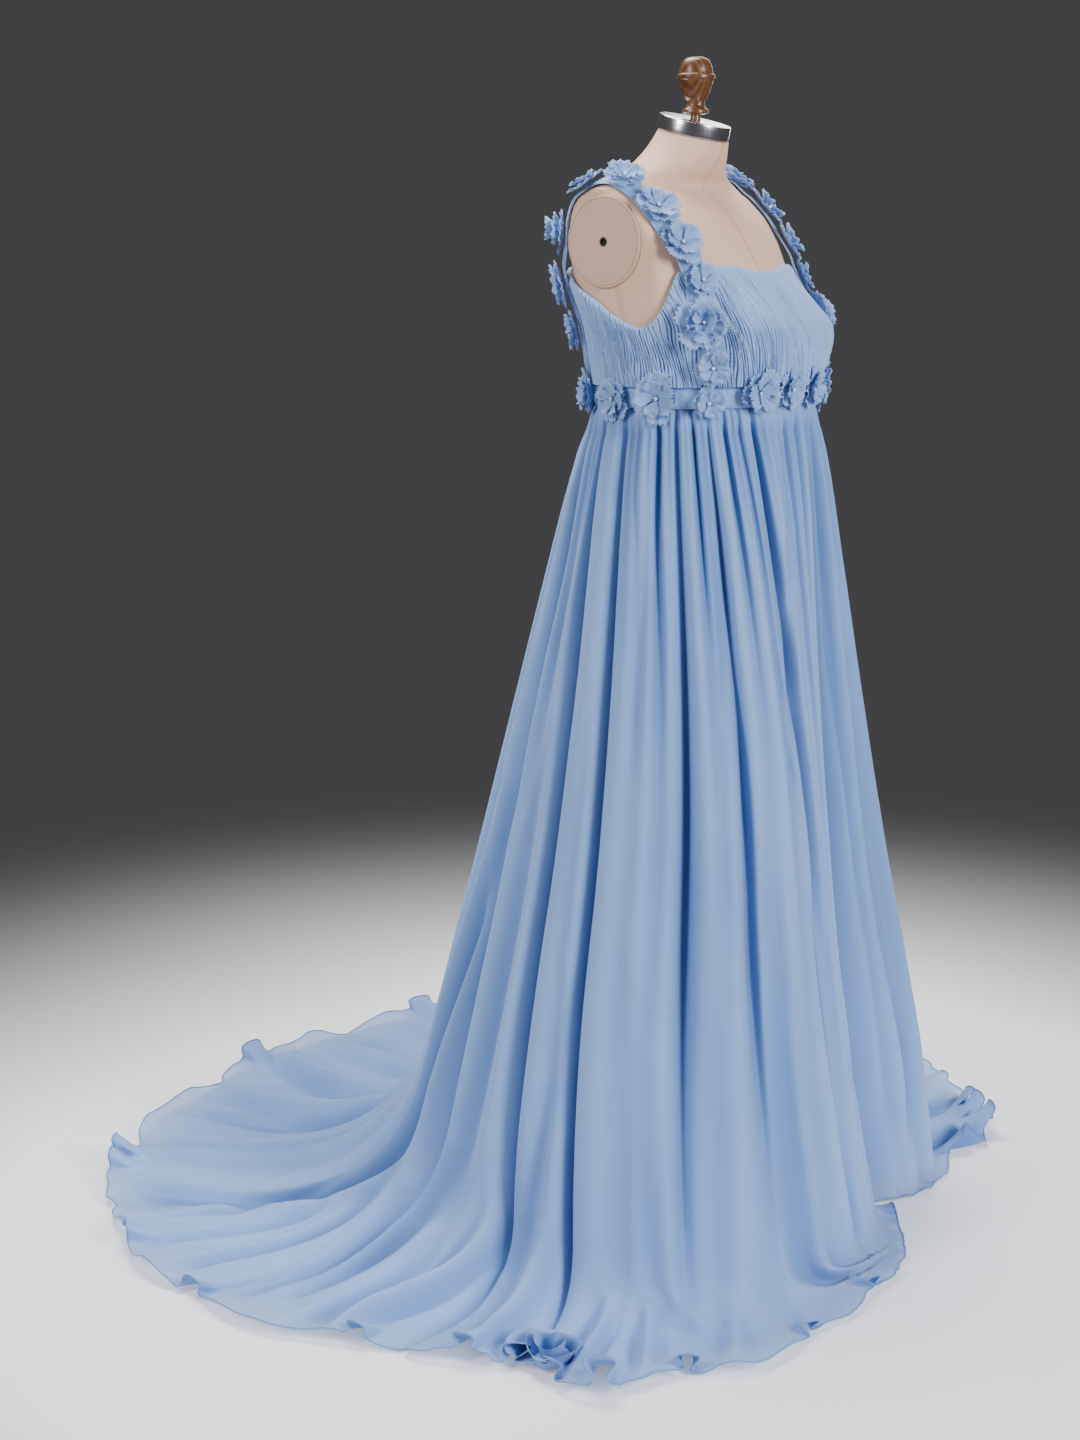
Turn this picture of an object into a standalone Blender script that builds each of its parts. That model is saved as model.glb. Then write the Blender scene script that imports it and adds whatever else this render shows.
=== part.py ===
"""Maternity dress with a sweep train on a limbless dress form. Metres, +Z up, the front is -Y.

The origin is on the floor under the pole. Angles are in degrees round the pole: 0 is the front,
90 is the wearer's left (+X), 180 is the back.
"""

import bpy
import numpy as np
from mathutils import Vector
from mathutils.bvhtree import BVHTree

SEAM_GAP = 0.0003
CLOTH = 0.0022
# Half a seam gap as an angle in degrees, where the body is narrowest.
SEAM_EDGE = 0.06

# ---- waistband -----------------------------------------------------------------------------
BAND_LOW, BAND_HIGH = 1.1340, 1.1605
BAND_DROP_BACK = 0.004
BAND_WALL = 0.003
BAND_COLUMNS = 44

# ---- skirt ---------------------------------------------------------------------------------
SKIRT_TOP = BAND_LOW - SEAM_GAP
SKIRT_MID = 0.50
GATHER_DEPTH = 0.0075
GATHER_LOW_DEPTH = 0.0035
COLUMNS_PER_GATHER = 4
# How the skirt widens on its fall: a spring under the waistband, how soon it is over, the power
# of the flare below it.
FLARE_SPRING, FLARE_SOON, FLARE_POWER = 0.06, 0.04, 1.12
# The shortest run on the floor, and the most of it that the turn may take.
REACH_LEAST, TURN_SHARE = 0.004, 0.9
# The gathers are calm at the seam (share, and where full), and fade to low waves by this depth.
GATHER_START, GATHER_FULL, GATHER_FADE = 0.15, 0.03, 0.30
# Main folds: how soon they grow, by what power; their narrowest width; where their feet begin.
FOLD_FULL, FOLD_POWER, FOLD_NARROW, FOOT_FROM = 0.8, 0.7, 0.35, 0.6
# On the floor: the share of fold depth lost, the height where gathers end, the share of the
# hem's lift that follows the main folds, and the reach for a whole lift with its limits.
FLAT_CALM, LEVEL_HEIGHT, LIFT_CREST = 0.6, 0.12, 0.55
LIFT_REACH, LIFT_LEAST, LIFT_MOST = 0.08, 0.3, 1.6
FULLER_POWER = 0.6
SEAM_SHARE = 0.6
# The folds in whose valleys the skirt's side seams run, right and left.
SKIRT_SEAMS = (1, 9)
# The skirt stands fuller than a straight flare: towards this angle, by so much.
FULLER_ANGLE, FULLER_OUT = 205, 0.005
HEM_LIFT = 0.014

# One row per main fold, in order round the skirt. The valley's angle at the waistband, at
# mid-height and at the hem; the gathers between it and the next valley; how deep and how wide
# the valley is at mid-height; and its depth where it meets the floor.
FOLD_COLUMNS = ("top", "mid", "hem", "gathers", "depth", "width", "foot")
FOLDS = (
    (-112, -100, -97, 1, 0.046, 0.026, 0.030),
    (-97, -86, -80, 3, 0.030, 0.018, 0.034),
    (-72, -62, -58, 2, 0.050, 0.034, 0.012),
    (-58, -42, -39, 3, 0.044, 0.030, 0.020),
    (-36, -15, -6, 4, 0.026, 0.020, 0.020),
    (13, 8, 27, 2, 0.052, 0.026, 0.016),
    (34, 26, 42, 2, 0.028, 0.026, 0.018),
    (50, 43, 56, 2, 0.034, 0.030, 0.034),
    (68, 64, 72, 2, 0.030, 0.026, 0.026),
    (87, 85, 90, 2, 0.040, 0.028, 0.030),
    (106, 105, 108, 2, 0.030, 0.028, 0.024),
    (125, 125, 126, 2, 0.042, 0.034, 0.026),
    (144, 144, 143, 2, 0.030, 0.028, 0.022),
    (163, 163, 162, 2, 0.038, 0.032, 0.024),
    (182, 183, 182, 2, 0.030, 0.026, 0.022),
    (200, 202, 201, 2, 0.040, 0.030, 0.024),
    (217, 220, 219, 2, 0.030, 0.024, 0.022),
    (233, 240, 240, 2, 0.034, 0.026, 0.022),
)

# Where the fall of the skirt meets the floor, how softly it turns there, and how far the hem
# lies out, by angle.
FLOOR_COLUMNS = ("angle", "fall", "turn", "hem")
FLOOR = (
    (-180, 0.440, 0.26, 0.850),
    (-168, 0.436, 0.26, 0.845),
    (-151, 0.428, 0.25, 0.832),
    (-142, 0.424, 0.24, 0.805),
    (-132, 0.420, 0.22, 0.780),
    (-121, 0.415, 0.20, 0.735),
    (-109, 0.410, 0.17, 0.690),
    (-98, 0.408, 0.13, 0.615),
    (-86, 0.405, 0.10, 0.585),
    (-79, 0.405, 0.09, 0.555),
    (-71, 0.405, 0.09, 0.592),
    (-58, 0.400, 0.08, 0.528),
    (-50, 0.395, 0.07, 0.526),
    (-45, 0.388, 0.07, 0.498),
    (-38, 0.375, 0.06, 0.448),
    (-27, 0.345, 0.05, 0.416),
    (-18, 0.322, 0.04, 0.384),
    (-8, 0.308, 0.04, 0.368),
    (0, 0.302, 0.035, 0.350),
    (9, 0.292, 0.03, 0.325),
    (20, 0.276, 0.02, 0.302),
    (23, 0.268, 0.02, 0.285),
    (26, 0.244, 0.015, 0.254),
    (29, 0.256, 0.015, 0.266),
    (32, 0.302, 0.02, 0.316),
    (38, 0.346, 0.02, 0.362),
    (45, 0.382, 0.02, 0.398),
    (53, 0.395, 0.04, 0.438),
    (58, 0.400, 0.06, 0.530),
    (66, 0.405, 0.08, 0.568),
    (72, 0.408, 0.10, 0.600),
    (80, 0.410, 0.11, 0.640),
    (98, 0.412, 0.16, 0.710),
    (115, 0.418, 0.21, 0.780),
    (132, 0.424, 0.24, 0.845),
    (150, 0.432, 0.26, 0.880),
    (165, 0.438, 0.26, 0.868),
    (180, 0.440, 0.26, 0.850),
)

# Rows of the skirt from the waistband down: shares of the straight fall, then of the turn
# (-1 to 1), then of what is left to the hem.
FALL_ROWS = (0.0, 0.03, 0.11, 0.27, 0.50, 0.75)
TURN_ROWS = (-1.0, -0.25, 0.45)
HEM_ROWS = (0.5, 1.0)

# ---- form ----------------------------------------------------------------------------------
# Level sections of the torso: height, middle from front to back, half width, depth to the
# front and to the back, roundness, and how far the section leans forward in degrees.
SECTION_COLUMNS = ("z", "mid", "half", "front", "back", "power", "lean")
SECTIONS = (
    (0.860, -0.004, 0.128, 0.098, 0.100, 2.2, 0),
    (0.900, -0.006, 0.140, 0.108, 0.110, 2.2, 0),
    (1.060, -0.012, 0.146, 0.120, 0.115, 2.2, 0),
    (1.147, -0.016, 0.155, 0.135, 0.124, 2.1, 0),
    (1.180, -0.012, 0.156, 0.140, 0.128, 2.1, 0),
    (1.225, -0.006, 0.162, 0.137, 0.131, 2.05, 0),
    (1.260, 0.002, 0.174, 0.125, 0.131, 2.0, 0),
    (1.295, 0.012, 0.187, 0.114, 0.126, 2.0, 0),
    (1.335, 0.022, 0.195, 0.101, 0.112, 2.1, 0),
    (1.365, 0.032, 0.190, 0.090, 0.096, 2.15, 0),
    (1.390, 0.040, 0.178, 0.073, 0.080, 2.1, 0),
    (1.402, 0.042, 0.166, 0.060, 0.062, 2.0, 0),
    (1.410, 0.040, 0.150, 0.052, 0.053, 2.0, 0),
    (1.419, 0.034, 0.120, 0.050, 0.052, 2.0, 2),
    (1.431, 0.024, 0.092, 0.049, 0.051, 2.0, 5),
    (1.443, 0.016, 0.073, 0.048, 0.050, 2.0, 8),
    (1.455, 0.009, 0.060, 0.047, 0.049, 2.0, 11),
    (1.4735, 0.0015, 0.0465, 0.0455, 0.0465, 2.0, 14),
)
TORSO_COLUMNS = 28
ARM_FACE_X = 0.163
BUST_ANGLE, BUST_SPREAD = 30.0, 21.0
BUST_HEIGHT, BUST_RISE = 1.228, 0.052
BUST_OUT = 0.026
FORM_BUST_SHARE = 0.85

CAP_LEAN = 14.0
CAP_RADIUS, CAP_HEIGHT, CAP_SOFT = 0.0475, 0.018, 0.001
CAP_CENTRE = Vector((0.0, 0.0, 1.4925))

FINIAL_COLUMNS = ("z", "radius")
FINIAL = (
    (1.4995, 0.0130), (1.5010, 0.0165), (1.5050, 0.0168), (1.5075, 0.0135), (1.5110, 0.0118),
    (1.5160, 0.0122), (1.5200, 0.0148), (1.5300, 0.0190), (1.5420, 0.0226), (1.5440, 0.0246),
    (1.5485, 0.0248), (1.5505, 0.0224), (1.5580, 0.0208), (1.5650, 0.0180), (1.5695, 0.0130),
    (1.5715, 0.0060),
)
FINIAL_SHAFT, FINIAL_FOOT = 0.0068, 0.0005

PLATE_CENTRE_Y, PLATE_CENTRE_Z = 0.034, 1.3385
PLATE_HALF_WIDTH, PLATE_HALF_HEIGHT, PLATE_THICK = 0.0535, 0.0575, 0.004
PLATE_HOLE_RADIUS, PLATE_HOLE_DEEP = 0.004, 0.003
PLATE_SIDES, PLATE_SOFT = 20, 0.0015

POLE_RADIUS = 0.0155
BASE_COLUMNS = ("radius", "z")
BASE = ((0.175, 0.0), (0.175, 0.012), (0.046, 0.021), (0.034, 0.030))
STAND_SIDES, CAP_SIDES, FINIAL_SIDES = 20, 24, 16

# ---- bodice --------------------------------------------------------------------------------
BODICE_LOW = BAND_HIGH + SEAM_GAP
BODICE_EASE = 0.0035
PLEAT_OUT = 0.0022
SEAM_ANGLE_FRONT, SEAM_ANGLE_BACK = 54.0, 129.0

# Top edge of the bodice by angle from the middle front.
TOP_EDGE_COLUMNS = ("angle", "z")
TOP_EDGE = (
    (0, 1.2990), (17, 1.3040), (34, 1.3090), (51, 1.3080), (62, 1.3020), (66, 1.2850),
    (70, 1.2660), (74, 1.2510), (78, 1.2400), (84, 1.2330), (94, 1.2440), (103, 1.2650),
    (113, 1.2840), (123, 1.2980), (135, 1.3050), (180, 1.3080),
)
PANEL_COLUMNS = ("name", "first", "last", "pleats", "rows")
PANELS = (
    ("bodice_front", -SEAM_ANGLE_FRONT, SEAM_ANGLE_FRONT, 28, 5),
    ("bodice_side_left", SEAM_ANGLE_FRONT, SEAM_ANGLE_BACK, 20, 4),
    ("bodice_back", SEAM_ANGLE_BACK, 360 - SEAM_ANGLE_BACK, 20, 4),
    ("bodice_side_right", 360 - SEAM_ANGLE_BACK, 360 - SEAM_ANGLE_FRONT, 20, 4),
)

# ---- straps --------------------------------------------------------------------------------
STRAP_WIDTH, STRAP_WALL, STRAP_CLEAR = 0.035, 0.0018, 0.0032
STRAP_STATIONS, STRAP_PLACES = 29, (-0.5, -0.17, 0.17, 0.5)
COVER_COLUMNS, COVER_ROWS = 120, 44
COVER_ABOVE, COVER_BLEND = 0.012, 0.030
STRAP_COLUMNS = ("x", "y", "z")
STRAP_PATH = (
    (0.131, -0.107, 1.1640), (0.134, -0.107, 1.2070), (0.137, -0.098, 1.2380),
    (0.135, -0.088, 1.2680), (0.130, -0.080, 1.2900), (0.130, -0.064, 1.3150),
    (0.135, -0.050, 1.3350), (0.138, -0.036, 1.3560), (0.140, -0.019, 1.3780),
    (0.141, 0.004, 1.4020), (0.141, 0.034, 1.4140), (0.142, 0.066, 1.4050),
    (0.144, 0.088, 1.3800), (0.144, 0.098, 1.3450), (0.142, 0.106, 1.3000),
    (0.137, 0.108, 1.2350), (0.131, 0.104, 1.1600),
)

# ---- flowers -------------------------------------------------------------------------------
PETALS = 5
POINTS_PER_PETAL = 3
FLOWER_WALL, FLOWER_BASE, FLOWER_HEART = 0.0016, 0.0085, 0.0050
FLOWER_GAP = 0.0015
FLOWER_NOTCH, FLOWER_RISE, FLOWER_FOOT, FLOWER_ROUND = 0.68, 0.20, 0.24, 0.5
# Along each strap: the share of its length, how far off its middle, size and turn.
STRAP_FLOWER_COLUMNS = ("along", "aside", "radius", "turn")
STRAP_FLOWERS = (
    (0.036, 0.000, 0.020, 30), (0.127, -0.002, 0.029, 10), (0.215, 0.003, 0.021, 44),
    (0.300, 0.000, 0.025, 20), (0.393, 0.002, 0.026, 60), (0.492, 0.002, 0.024, 5),
    (0.575, -0.003, 0.021, 35), (0.675, 0.003, 0.025, 64), (0.785, -0.002, 0.026, 24),
    (0.892, 0.002, 0.025, 50),
)
# Round the waistband: the angle, how far above its middle, size and turn.
BAND_FLOWER_COLUMNS = ("angle", "above", "out", "radius", "turn")
BAND_FLOWERS = (
    (-151, 0.001, 0.0015, 0.024, 8), (-128, 0.005, 0.0080, 0.023, 12),
    (-103, -0.002, 0.0015, 0.025, 40), (-80, 0.000, 0.0015, 0.027, 65),
    (-57, -0.006, 0.0015, 0.020, 20), (-33, 0.006, 0.0040, 0.026, 50),
    (-10, 0.007, 0.0015, 0.023, 5), (13, 0.006, 0.0015, 0.024, 33),
    (35, 0.005, 0.0015, 0.025, 58), (57, -0.006, 0.0015, 0.020, 22),
    (80, 0.000, 0.0015, 0.026, 47), (104, -0.001, 0.0015, 0.025, 8),
    (128, 0.004, 0.0080, 0.023, 30), (150, 0.000, 0.0015, 0.024, 61),
    (170, 0.003, 0.0015, 0.022, 15), (189, -0.001, 0.0015, 0.022, 44),
)

# ---- finishes ------------------------------------------------------------------------------
FINISHES = {
    "chiffon": ((0.36, 0.50, 0.76), 0.75, 0.0),
    "ruched_chiffon": ((0.36, 0.50, 0.76), 0.75, 0.0),
    "band_fabric": ((0.38, 0.52, 0.78), 0.70, 0.0),
    "flower_fabric": ((0.40, 0.54, 0.80), 0.70, 0.0),
    "linen": ((0.58, 0.49, 0.42), 0.85, 0.0),
    "chrome": ((0.75, 0.76, 0.78), 0.12, 1.0),
    "walnut": ((0.29, 0.11, 0.04), 0.35, 0.0),
    "arm_plate_linen": ((0.58, 0.49, 0.42), 0.80, 0.0),
    "pole_steel": ((0.60, 0.61, 0.63), 0.30, 1.0),
    "base_iron": ((0.05, 0.05, 0.055), 0.50, 0.0),
}


def column(table, names, name):
    """One named column of a table as an array."""
    return np.array([row[names.index(name)] for row in table], dtype=float)


def clear_scene():
    """Removes what the scene holds."""
    for thing in list(bpy.data.objects):
        bpy.data.objects.remove(thing, do_unlink=True)


def finish_material(name):
    """The Principled material of a finish, made once."""
    found = bpy.data.materials.get(name)
    if found:
        return found
    colour, rough, metal = FINISHES[name]
    material = bpy.data.materials.new(name)
    material.use_nodes = True
    shader = material.node_tree.nodes["Principled BSDF"]
    shader.inputs["Base Color"].default_value = (*colour, 1.0)
    shader.inputs["Roughness"].default_value = rough
    shader.inputs["Metallic"].default_value = metal
    material.diffuse_color = (*colour, 1.0)
    return material


def make_object(name, points, faces, finish, crease=35.0):
    """A named object from points and faces, shaded smooth but for its sharp edges."""
    mesh = bpy.data.meshes.new(name)
    mesh.from_pydata([tuple(p) for p in points], [], faces)
    mesh.validate()
    mesh.materials.append(finish_material(finish))
    mesh.shade_smooth()
    mesh.set_sharp_from_angle(angle=np.radians(crease))
    thing = bpy.data.objects.new(name, mesh)
    bpy.context.scene.collection.objects.link(thing)
    return thing


def wall_faces(rows, columns, wrap):
    """Faces of a wall whose outer and inner grids are rows x columns points, outer first.

    Seen from outside, columns run to the right and rows run down.
    """
    count = rows * columns
    faces = []
    last = columns if wrap else columns - 1
    for i in range(rows - 1):
        for j in range(last):
            k = (j + 1) % columns
            a, b, c, d = i * columns + j, i * columns + k, (i + 1) * columns + k, (i + 1) * columns + j
            faces.append((a, d, c, b))
            faces.append((a + count, b + count, c + count, d + count))
    bottom = (rows - 1) * columns
    for j in range(last):
        k = (j + 1) % columns
        faces.append((j, k, k + count, j + count))
        faces.append((bottom + k, bottom + j, bottom + j + count, bottom + k + count))
    if not wrap:
        right = columns - 1
        for i in range(rows - 1):
            a, b = i * columns, (i + 1) * columns
            faces.append((a, a + count, b + count, b))
            faces.append((a + right, b + right, b + right + count, a + right + count))
    return faces


def wall_object(name, outer, inner, finish, wrap=False):
    """A cloth wall between two grids of points (rows, columns, 3)."""
    rows, columns = outer.shape[:2]
    points = np.concatenate([outer.reshape(-1, 3), inner.reshape(-1, 3)])
    return make_object(name, points, wall_faces(rows, columns, wrap), finish)


def grid_normals(grid, wrap):
    """Unit normals of a grid, away from its hollow, by central differences."""
    if wrap:
        across = np.roll(grid, -1, axis=1) - np.roll(grid, 1, axis=1)
    else:
        across = np.gradient(grid, axis=1)
    down = np.gradient(grid, axis=0)
    normal = np.cross(down, across)
    return normal / np.linalg.norm(normal, axis=2, keepdims=True)


def loft(name, rings, finish, crease=35.0):
    """A closed solid through rings of points from the lowest to the highest, with flat ends."""
    rings = np.asarray(rings)
    levels, around = rings.shape[:2]
    faces = [tuple(range(around))[::-1]]
    for i in range(levels - 1):
        for j in range(around):
            k = (j + 1) % around
            faces.append((i * around + j, i * around + k, (i + 1) * around + k, (i + 1) * around + j))
    faces.append(tuple((levels - 1) * around + j for j in range(around)))
    return make_object(name, rings.reshape(-1, 3), faces, finish, crease)


# ---- the body that the form and the bodice share ---------------------------------------------


def section_value(name, z):
    """A section column at the height z, on straight lines between the rows."""
    return np.interp(z, column(SECTIONS, SECTION_COLUMNS, "z"), column(SECTIONS, SECTION_COLUMNS, name))


def bust(angle, z, share=1.0):
    """How far the bust stands out at an angle and a height: two round bumps in front."""
    wrapped = (angle + 180.0) % 360.0 - 180.0
    sides = sum(np.exp(-(((wrapped - s * BUST_ANGLE) / BUST_SPREAD) ** 2)) for s in (-1, 1))
    return BUST_OUT * share * sides * np.exp(-(((z - BUST_HEIGHT) / BUST_RISE) ** 2))


def body_points(angle, z, out=0.0, form=False):
    """Points of the body at angles and heights, moved out level by `out`.

    A section is a superellipse, |sin/half|^n + |cos/depth|^n = 1/r^n, with its own depth in
    front and behind, and the arm faces cut it flat at the sides. The form itself has a
    slightly smaller bust than the cloth over it.
    """
    turn = np.radians(angle)
    side, ahead = np.sin(turn), np.cos(turn)
    power = section_value("power", z)
    depth = np.where(ahead > 0, section_value("front", z), section_value("back", z))
    radius = (
        (np.abs(side) / section_value("half", z)) ** power + (np.abs(ahead) / depth) ** power
    ) ** (-1.0 / power)
    radius = radius + bust(angle, z, FORM_BUST_SHARE if form else 1.0) + out
    x = np.clip(radius * side, -ARM_FACE_X - out, ARM_FACE_X + out)
    return np.stack([x, section_value("mid", z) - radius * ahead, z + 0.0 * x], axis=-1)


def leaned(ring, z):
    """A level ring of the body turned about its middle by the section's lean."""
    lean, middle = np.radians(section_value("lean", z)), section_value("mid", z)
    reach = ring[:, 1] - middle
    return np.column_stack([ring[:, 0], middle + reach * np.cos(lean), z + reach * np.sin(lean)])


def make_torso():
    """The linen torso, from a plain foot under the skirt to the neck."""
    angles = np.arange(TORSO_COLUMNS) * 360.0 / TORSO_COLUMNS
    rings = [leaned(body_points(angles, np.full_like(angles, z), form=True), z)
             for z in column(SECTIONS, SECTION_COLUMNS, "z")]
    return loft("form_torso", rings, "linen")


def covered_tree():
    """A search tree of the body with the bodice on it, fine and smooth, for laying straps."""
    angles = np.arange(COVER_COLUMNS) * 360.0 / COVER_COLUMNS
    heights = np.linspace(BAND_HIGH, SECTIONS[-1][0], COVER_ROWS)
    heights = np.union1d(heights, [row[0] for row in SECTIONS if row[0] > BAND_HIGH])
    rings = []
    for z in heights:
        above = np.clip((z - top_edge(angles) - COVER_ABOVE) / COVER_BLEND, 0.0, 1.0)
        out = (BODICE_EASE + CLOTH + PLEAT_OUT) * (1.0 - above)
        rings.append(leaned(body_points(angles, np.full_like(angles, z), out), z))
    points = np.concatenate(rings)
    faces = []
    for row in range(len(heights) - 1):
        for j in range(COVER_COLUMNS):
            here, right = row * COVER_COLUMNS + j, row * COVER_COLUMNS + (j + 1) % COVER_COLUMNS
            faces.append((here, right, right + COVER_COLUMNS, here + COVER_COLUMNS))
    return BVHTree.FromPolygons([tuple(p) for p in points], faces)


def leaning_ring(radius, height):
    """A ring of the neck cap, `height` below the middle of its top, along the leaning axis."""
    lean = np.radians(CAP_LEAN)
    turn = np.arange(CAP_SIDES) * 2 * np.pi / CAP_SIDES
    reach = -radius * np.cos(turn)
    x = radius * np.sin(turn)
    y = CAP_CENTRE.y + reach * np.cos(lean) + height * np.sin(lean)
    z = CAP_CENTRE.z + reach * np.sin(lean) - height * np.cos(lean)
    return np.stack([x, y, z], axis=-1)


def make_cap():
    """The chrome cap on the neck, a short drum with a softened rim, leaning forward."""
    profile = ((CAP_RADIUS - CAP_SOFT, CAP_HEIGHT), (CAP_RADIUS, CAP_HEIGHT - CAP_SOFT),
               (CAP_RADIUS, CAP_SOFT), (CAP_RADIUS - CAP_SOFT, 0.0))
    return loft("form_neck_cap", [leaning_ring(r, h) for r, h in profile], "chrome")


def make_finial():
    """The turned wooden finial on its short shaft, which stands on the cap."""
    turn = np.arange(FINIAL_SIDES) * 2 * np.pi / FINIAL_SIDES
    unit = np.stack([np.sin(turn), -np.cos(turn)], axis=-1)
    slope = np.tan(np.radians(CAP_LEAN))
    foot = unit * FINIAL_SHAFT
    foot_z = CAP_CENTRE.z + (foot[:, 1] - CAP_CENTRE.y) * slope + SEAM_GAP
    rings = [np.column_stack([foot, foot_z])]
    rings.append(np.column_stack([foot, np.full(FINIAL_SIDES, FINIAL[0][0] - FINIAL_FOOT)]))
    for z, radius in FINIAL:
        rings.append(np.column_stack([unit * radius, np.full(FINIAL_SIDES, z)]))
    return loft("form_finial", rings, "walnut")


def make_plate(name, side):
    """An oval arm plate flat against the torso's side, with a shallow hole in its middle."""
    hole = PLATE_HOLE_RADIUS
    profile = ((PLATE_HALF_WIDTH, PLATE_HALF_HEIGHT, 0.0),
               (PLATE_HALF_WIDTH, PLATE_HALF_HEIGHT, PLATE_THICK - PLATE_SOFT),
               (PLATE_HALF_WIDTH - PLATE_SOFT, PLATE_HALF_HEIGHT - PLATE_SOFT, PLATE_THICK),
               (hole, hole, PLATE_THICK), (hole, hole, PLATE_THICK - PLATE_HOLE_DEEP))
    turn = np.arange(PLATE_SIDES) * 2 * np.pi / PLATE_SIDES * side
    rings = []
    for half_width, half_height, out in profile:
        x = np.full(PLATE_SIDES, side * (ARM_FACE_X + SEAM_GAP + out))
        y = PLATE_CENTRE_Y + half_width * np.cos(turn)
        z = PLATE_CENTRE_Z + half_height * np.sin(turn)
        rings.append(np.stack([x, y, z], axis=-1))
    return loft(name, rings, "arm_plate_linen")


def turned(name, profile, sides, finish):
    """A solid turned round the pole's axis from a profile of radius and height, lowest first."""
    turn = np.arange(sides) * 2 * np.pi / sides
    rings = [np.column_stack([radius * np.sin(turn), -radius * np.cos(turn), np.full(sides, z)])
             for radius, z in profile]
    return loft(name, rings, finish)


def make_stand():
    """The pole from the base to the torso, and the round weighted base on the floor."""
    low, high = BASE[-1][1] + SEAM_GAP, SECTIONS[0][0] - SEAM_GAP
    turned("form_pole", ((POLE_RADIUS, low), (POLE_RADIUS, high)), STAND_SIDES, "pole_steel")
    turned("form_base", BASE, STAND_SIDES, "base_iron")


# ---- bodice, waistband ------------------------------------------------------------------------


def band_drop(angle):
    """How much lower the waistband lies than in front: it sinks towards the back."""
    return BAND_DROP_BACK * 0.5 * (1.0 - np.cos(np.radians(angle)))


def top_edge(angle):
    """Height of the bodice's top edge at an angle, the same on both sides."""
    wrapped = np.abs((angle + 180.0) % 360.0 - 180.0)
    return np.interp(wrapped, column(TOP_EDGE, TOP_EDGE_COLUMNS, "angle"),
                     column(TOP_EDGE, TOP_EDGE_COLUMNS, "z"))


def make_panel(name, first, last, pleats, rows):
    """A ruched bodice panel: a plain wall whose outer points are raised in upright pleats."""
    columns = pleats * 2 + 1
    share = np.linspace(0.0, 1.0, columns)
    angle = first + SEAM_EDGE + share * (last - first - 2 * SEAM_EDGE)
    down = np.linspace(0.0, 1.0, rows)[:, None]
    angles = np.broadcast_to(angle, (rows, columns))
    low = BODICE_LOW - band_drop(angle)
    heights = top_edge(angle) + down * (low - top_edge(angle))
    inner = body_points(angles, heights, BODICE_EASE)
    raised = BODICE_EASE + CLOTH + PLEAT_OUT * (np.arange(columns) % 2)
    outer = body_points(angles, heights, np.broadcast_to(raised, angles.shape))
    return wall_object(name, outer, inner, "ruched_chiffon")


def band_wall(angle, height, out):
    """Points of the waistband's wall at a share of its height, moved out from the body."""
    z = BAND_LOW + height * (BAND_HIGH - BAND_LOW) - band_drop(angle)
    level = np.full_like(angle, (BAND_LOW + BAND_HIGH) / 2)
    points = body_points(angle, level, out)
    points[..., 2] = z
    return points


def make_band(name, first, last):
    """Half of the flat waistband, from one side seam to the other."""
    angle = np.linspace(first + SEAM_EDGE, last - SEAM_EDGE, BAND_COLUMNS // 2 + 1)
    outer = np.stack([band_wall(angle, h, BODICE_EASE + BAND_WALL) for h in (1.0, 0.0)])
    inner = np.stack([band_wall(angle, h, BODICE_EASE) for h in (1.0, 0.0)])
    return wall_object(name, outer, inner, "band_fabric")


# ---- skirt ------------------------------------------------------------------------------------


def flare(down):
    """How the skirt widens from the waistband (0) to the floor (1): it springs, then flares."""
    spring = FLARE_SPRING * (1.0 - np.exp(-down / FLARE_SOON))
    return spring + (1.0 - FLARE_SPRING) * down**FLARE_POWER


def floor_value(name, angle):
    """A floor column at an angle, on straight lines between the rows."""
    wrapped = (angle + 180.0) % 360.0 - 180.0
    return np.interp(wrapped, column(FLOOR, FLOOR_COLUMNS, "angle"),
                     column(FLOOR, FLOOR_COLUMNS, name))


def fold_lines():
    """Each column of the skirt: its place in its fold and the valleys on both sides of it."""
    fold, share = [], []
    for index, gathers in enumerate(column(FOLDS, FOLD_COLUMNS, "gathers").astype(int)):
        steps = gathers * COLUMNS_PER_GATHER
        fold += [index] * steps
        share += [step / steps for step in range(steps)]
    return np.array(fold), np.array(share)


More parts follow.
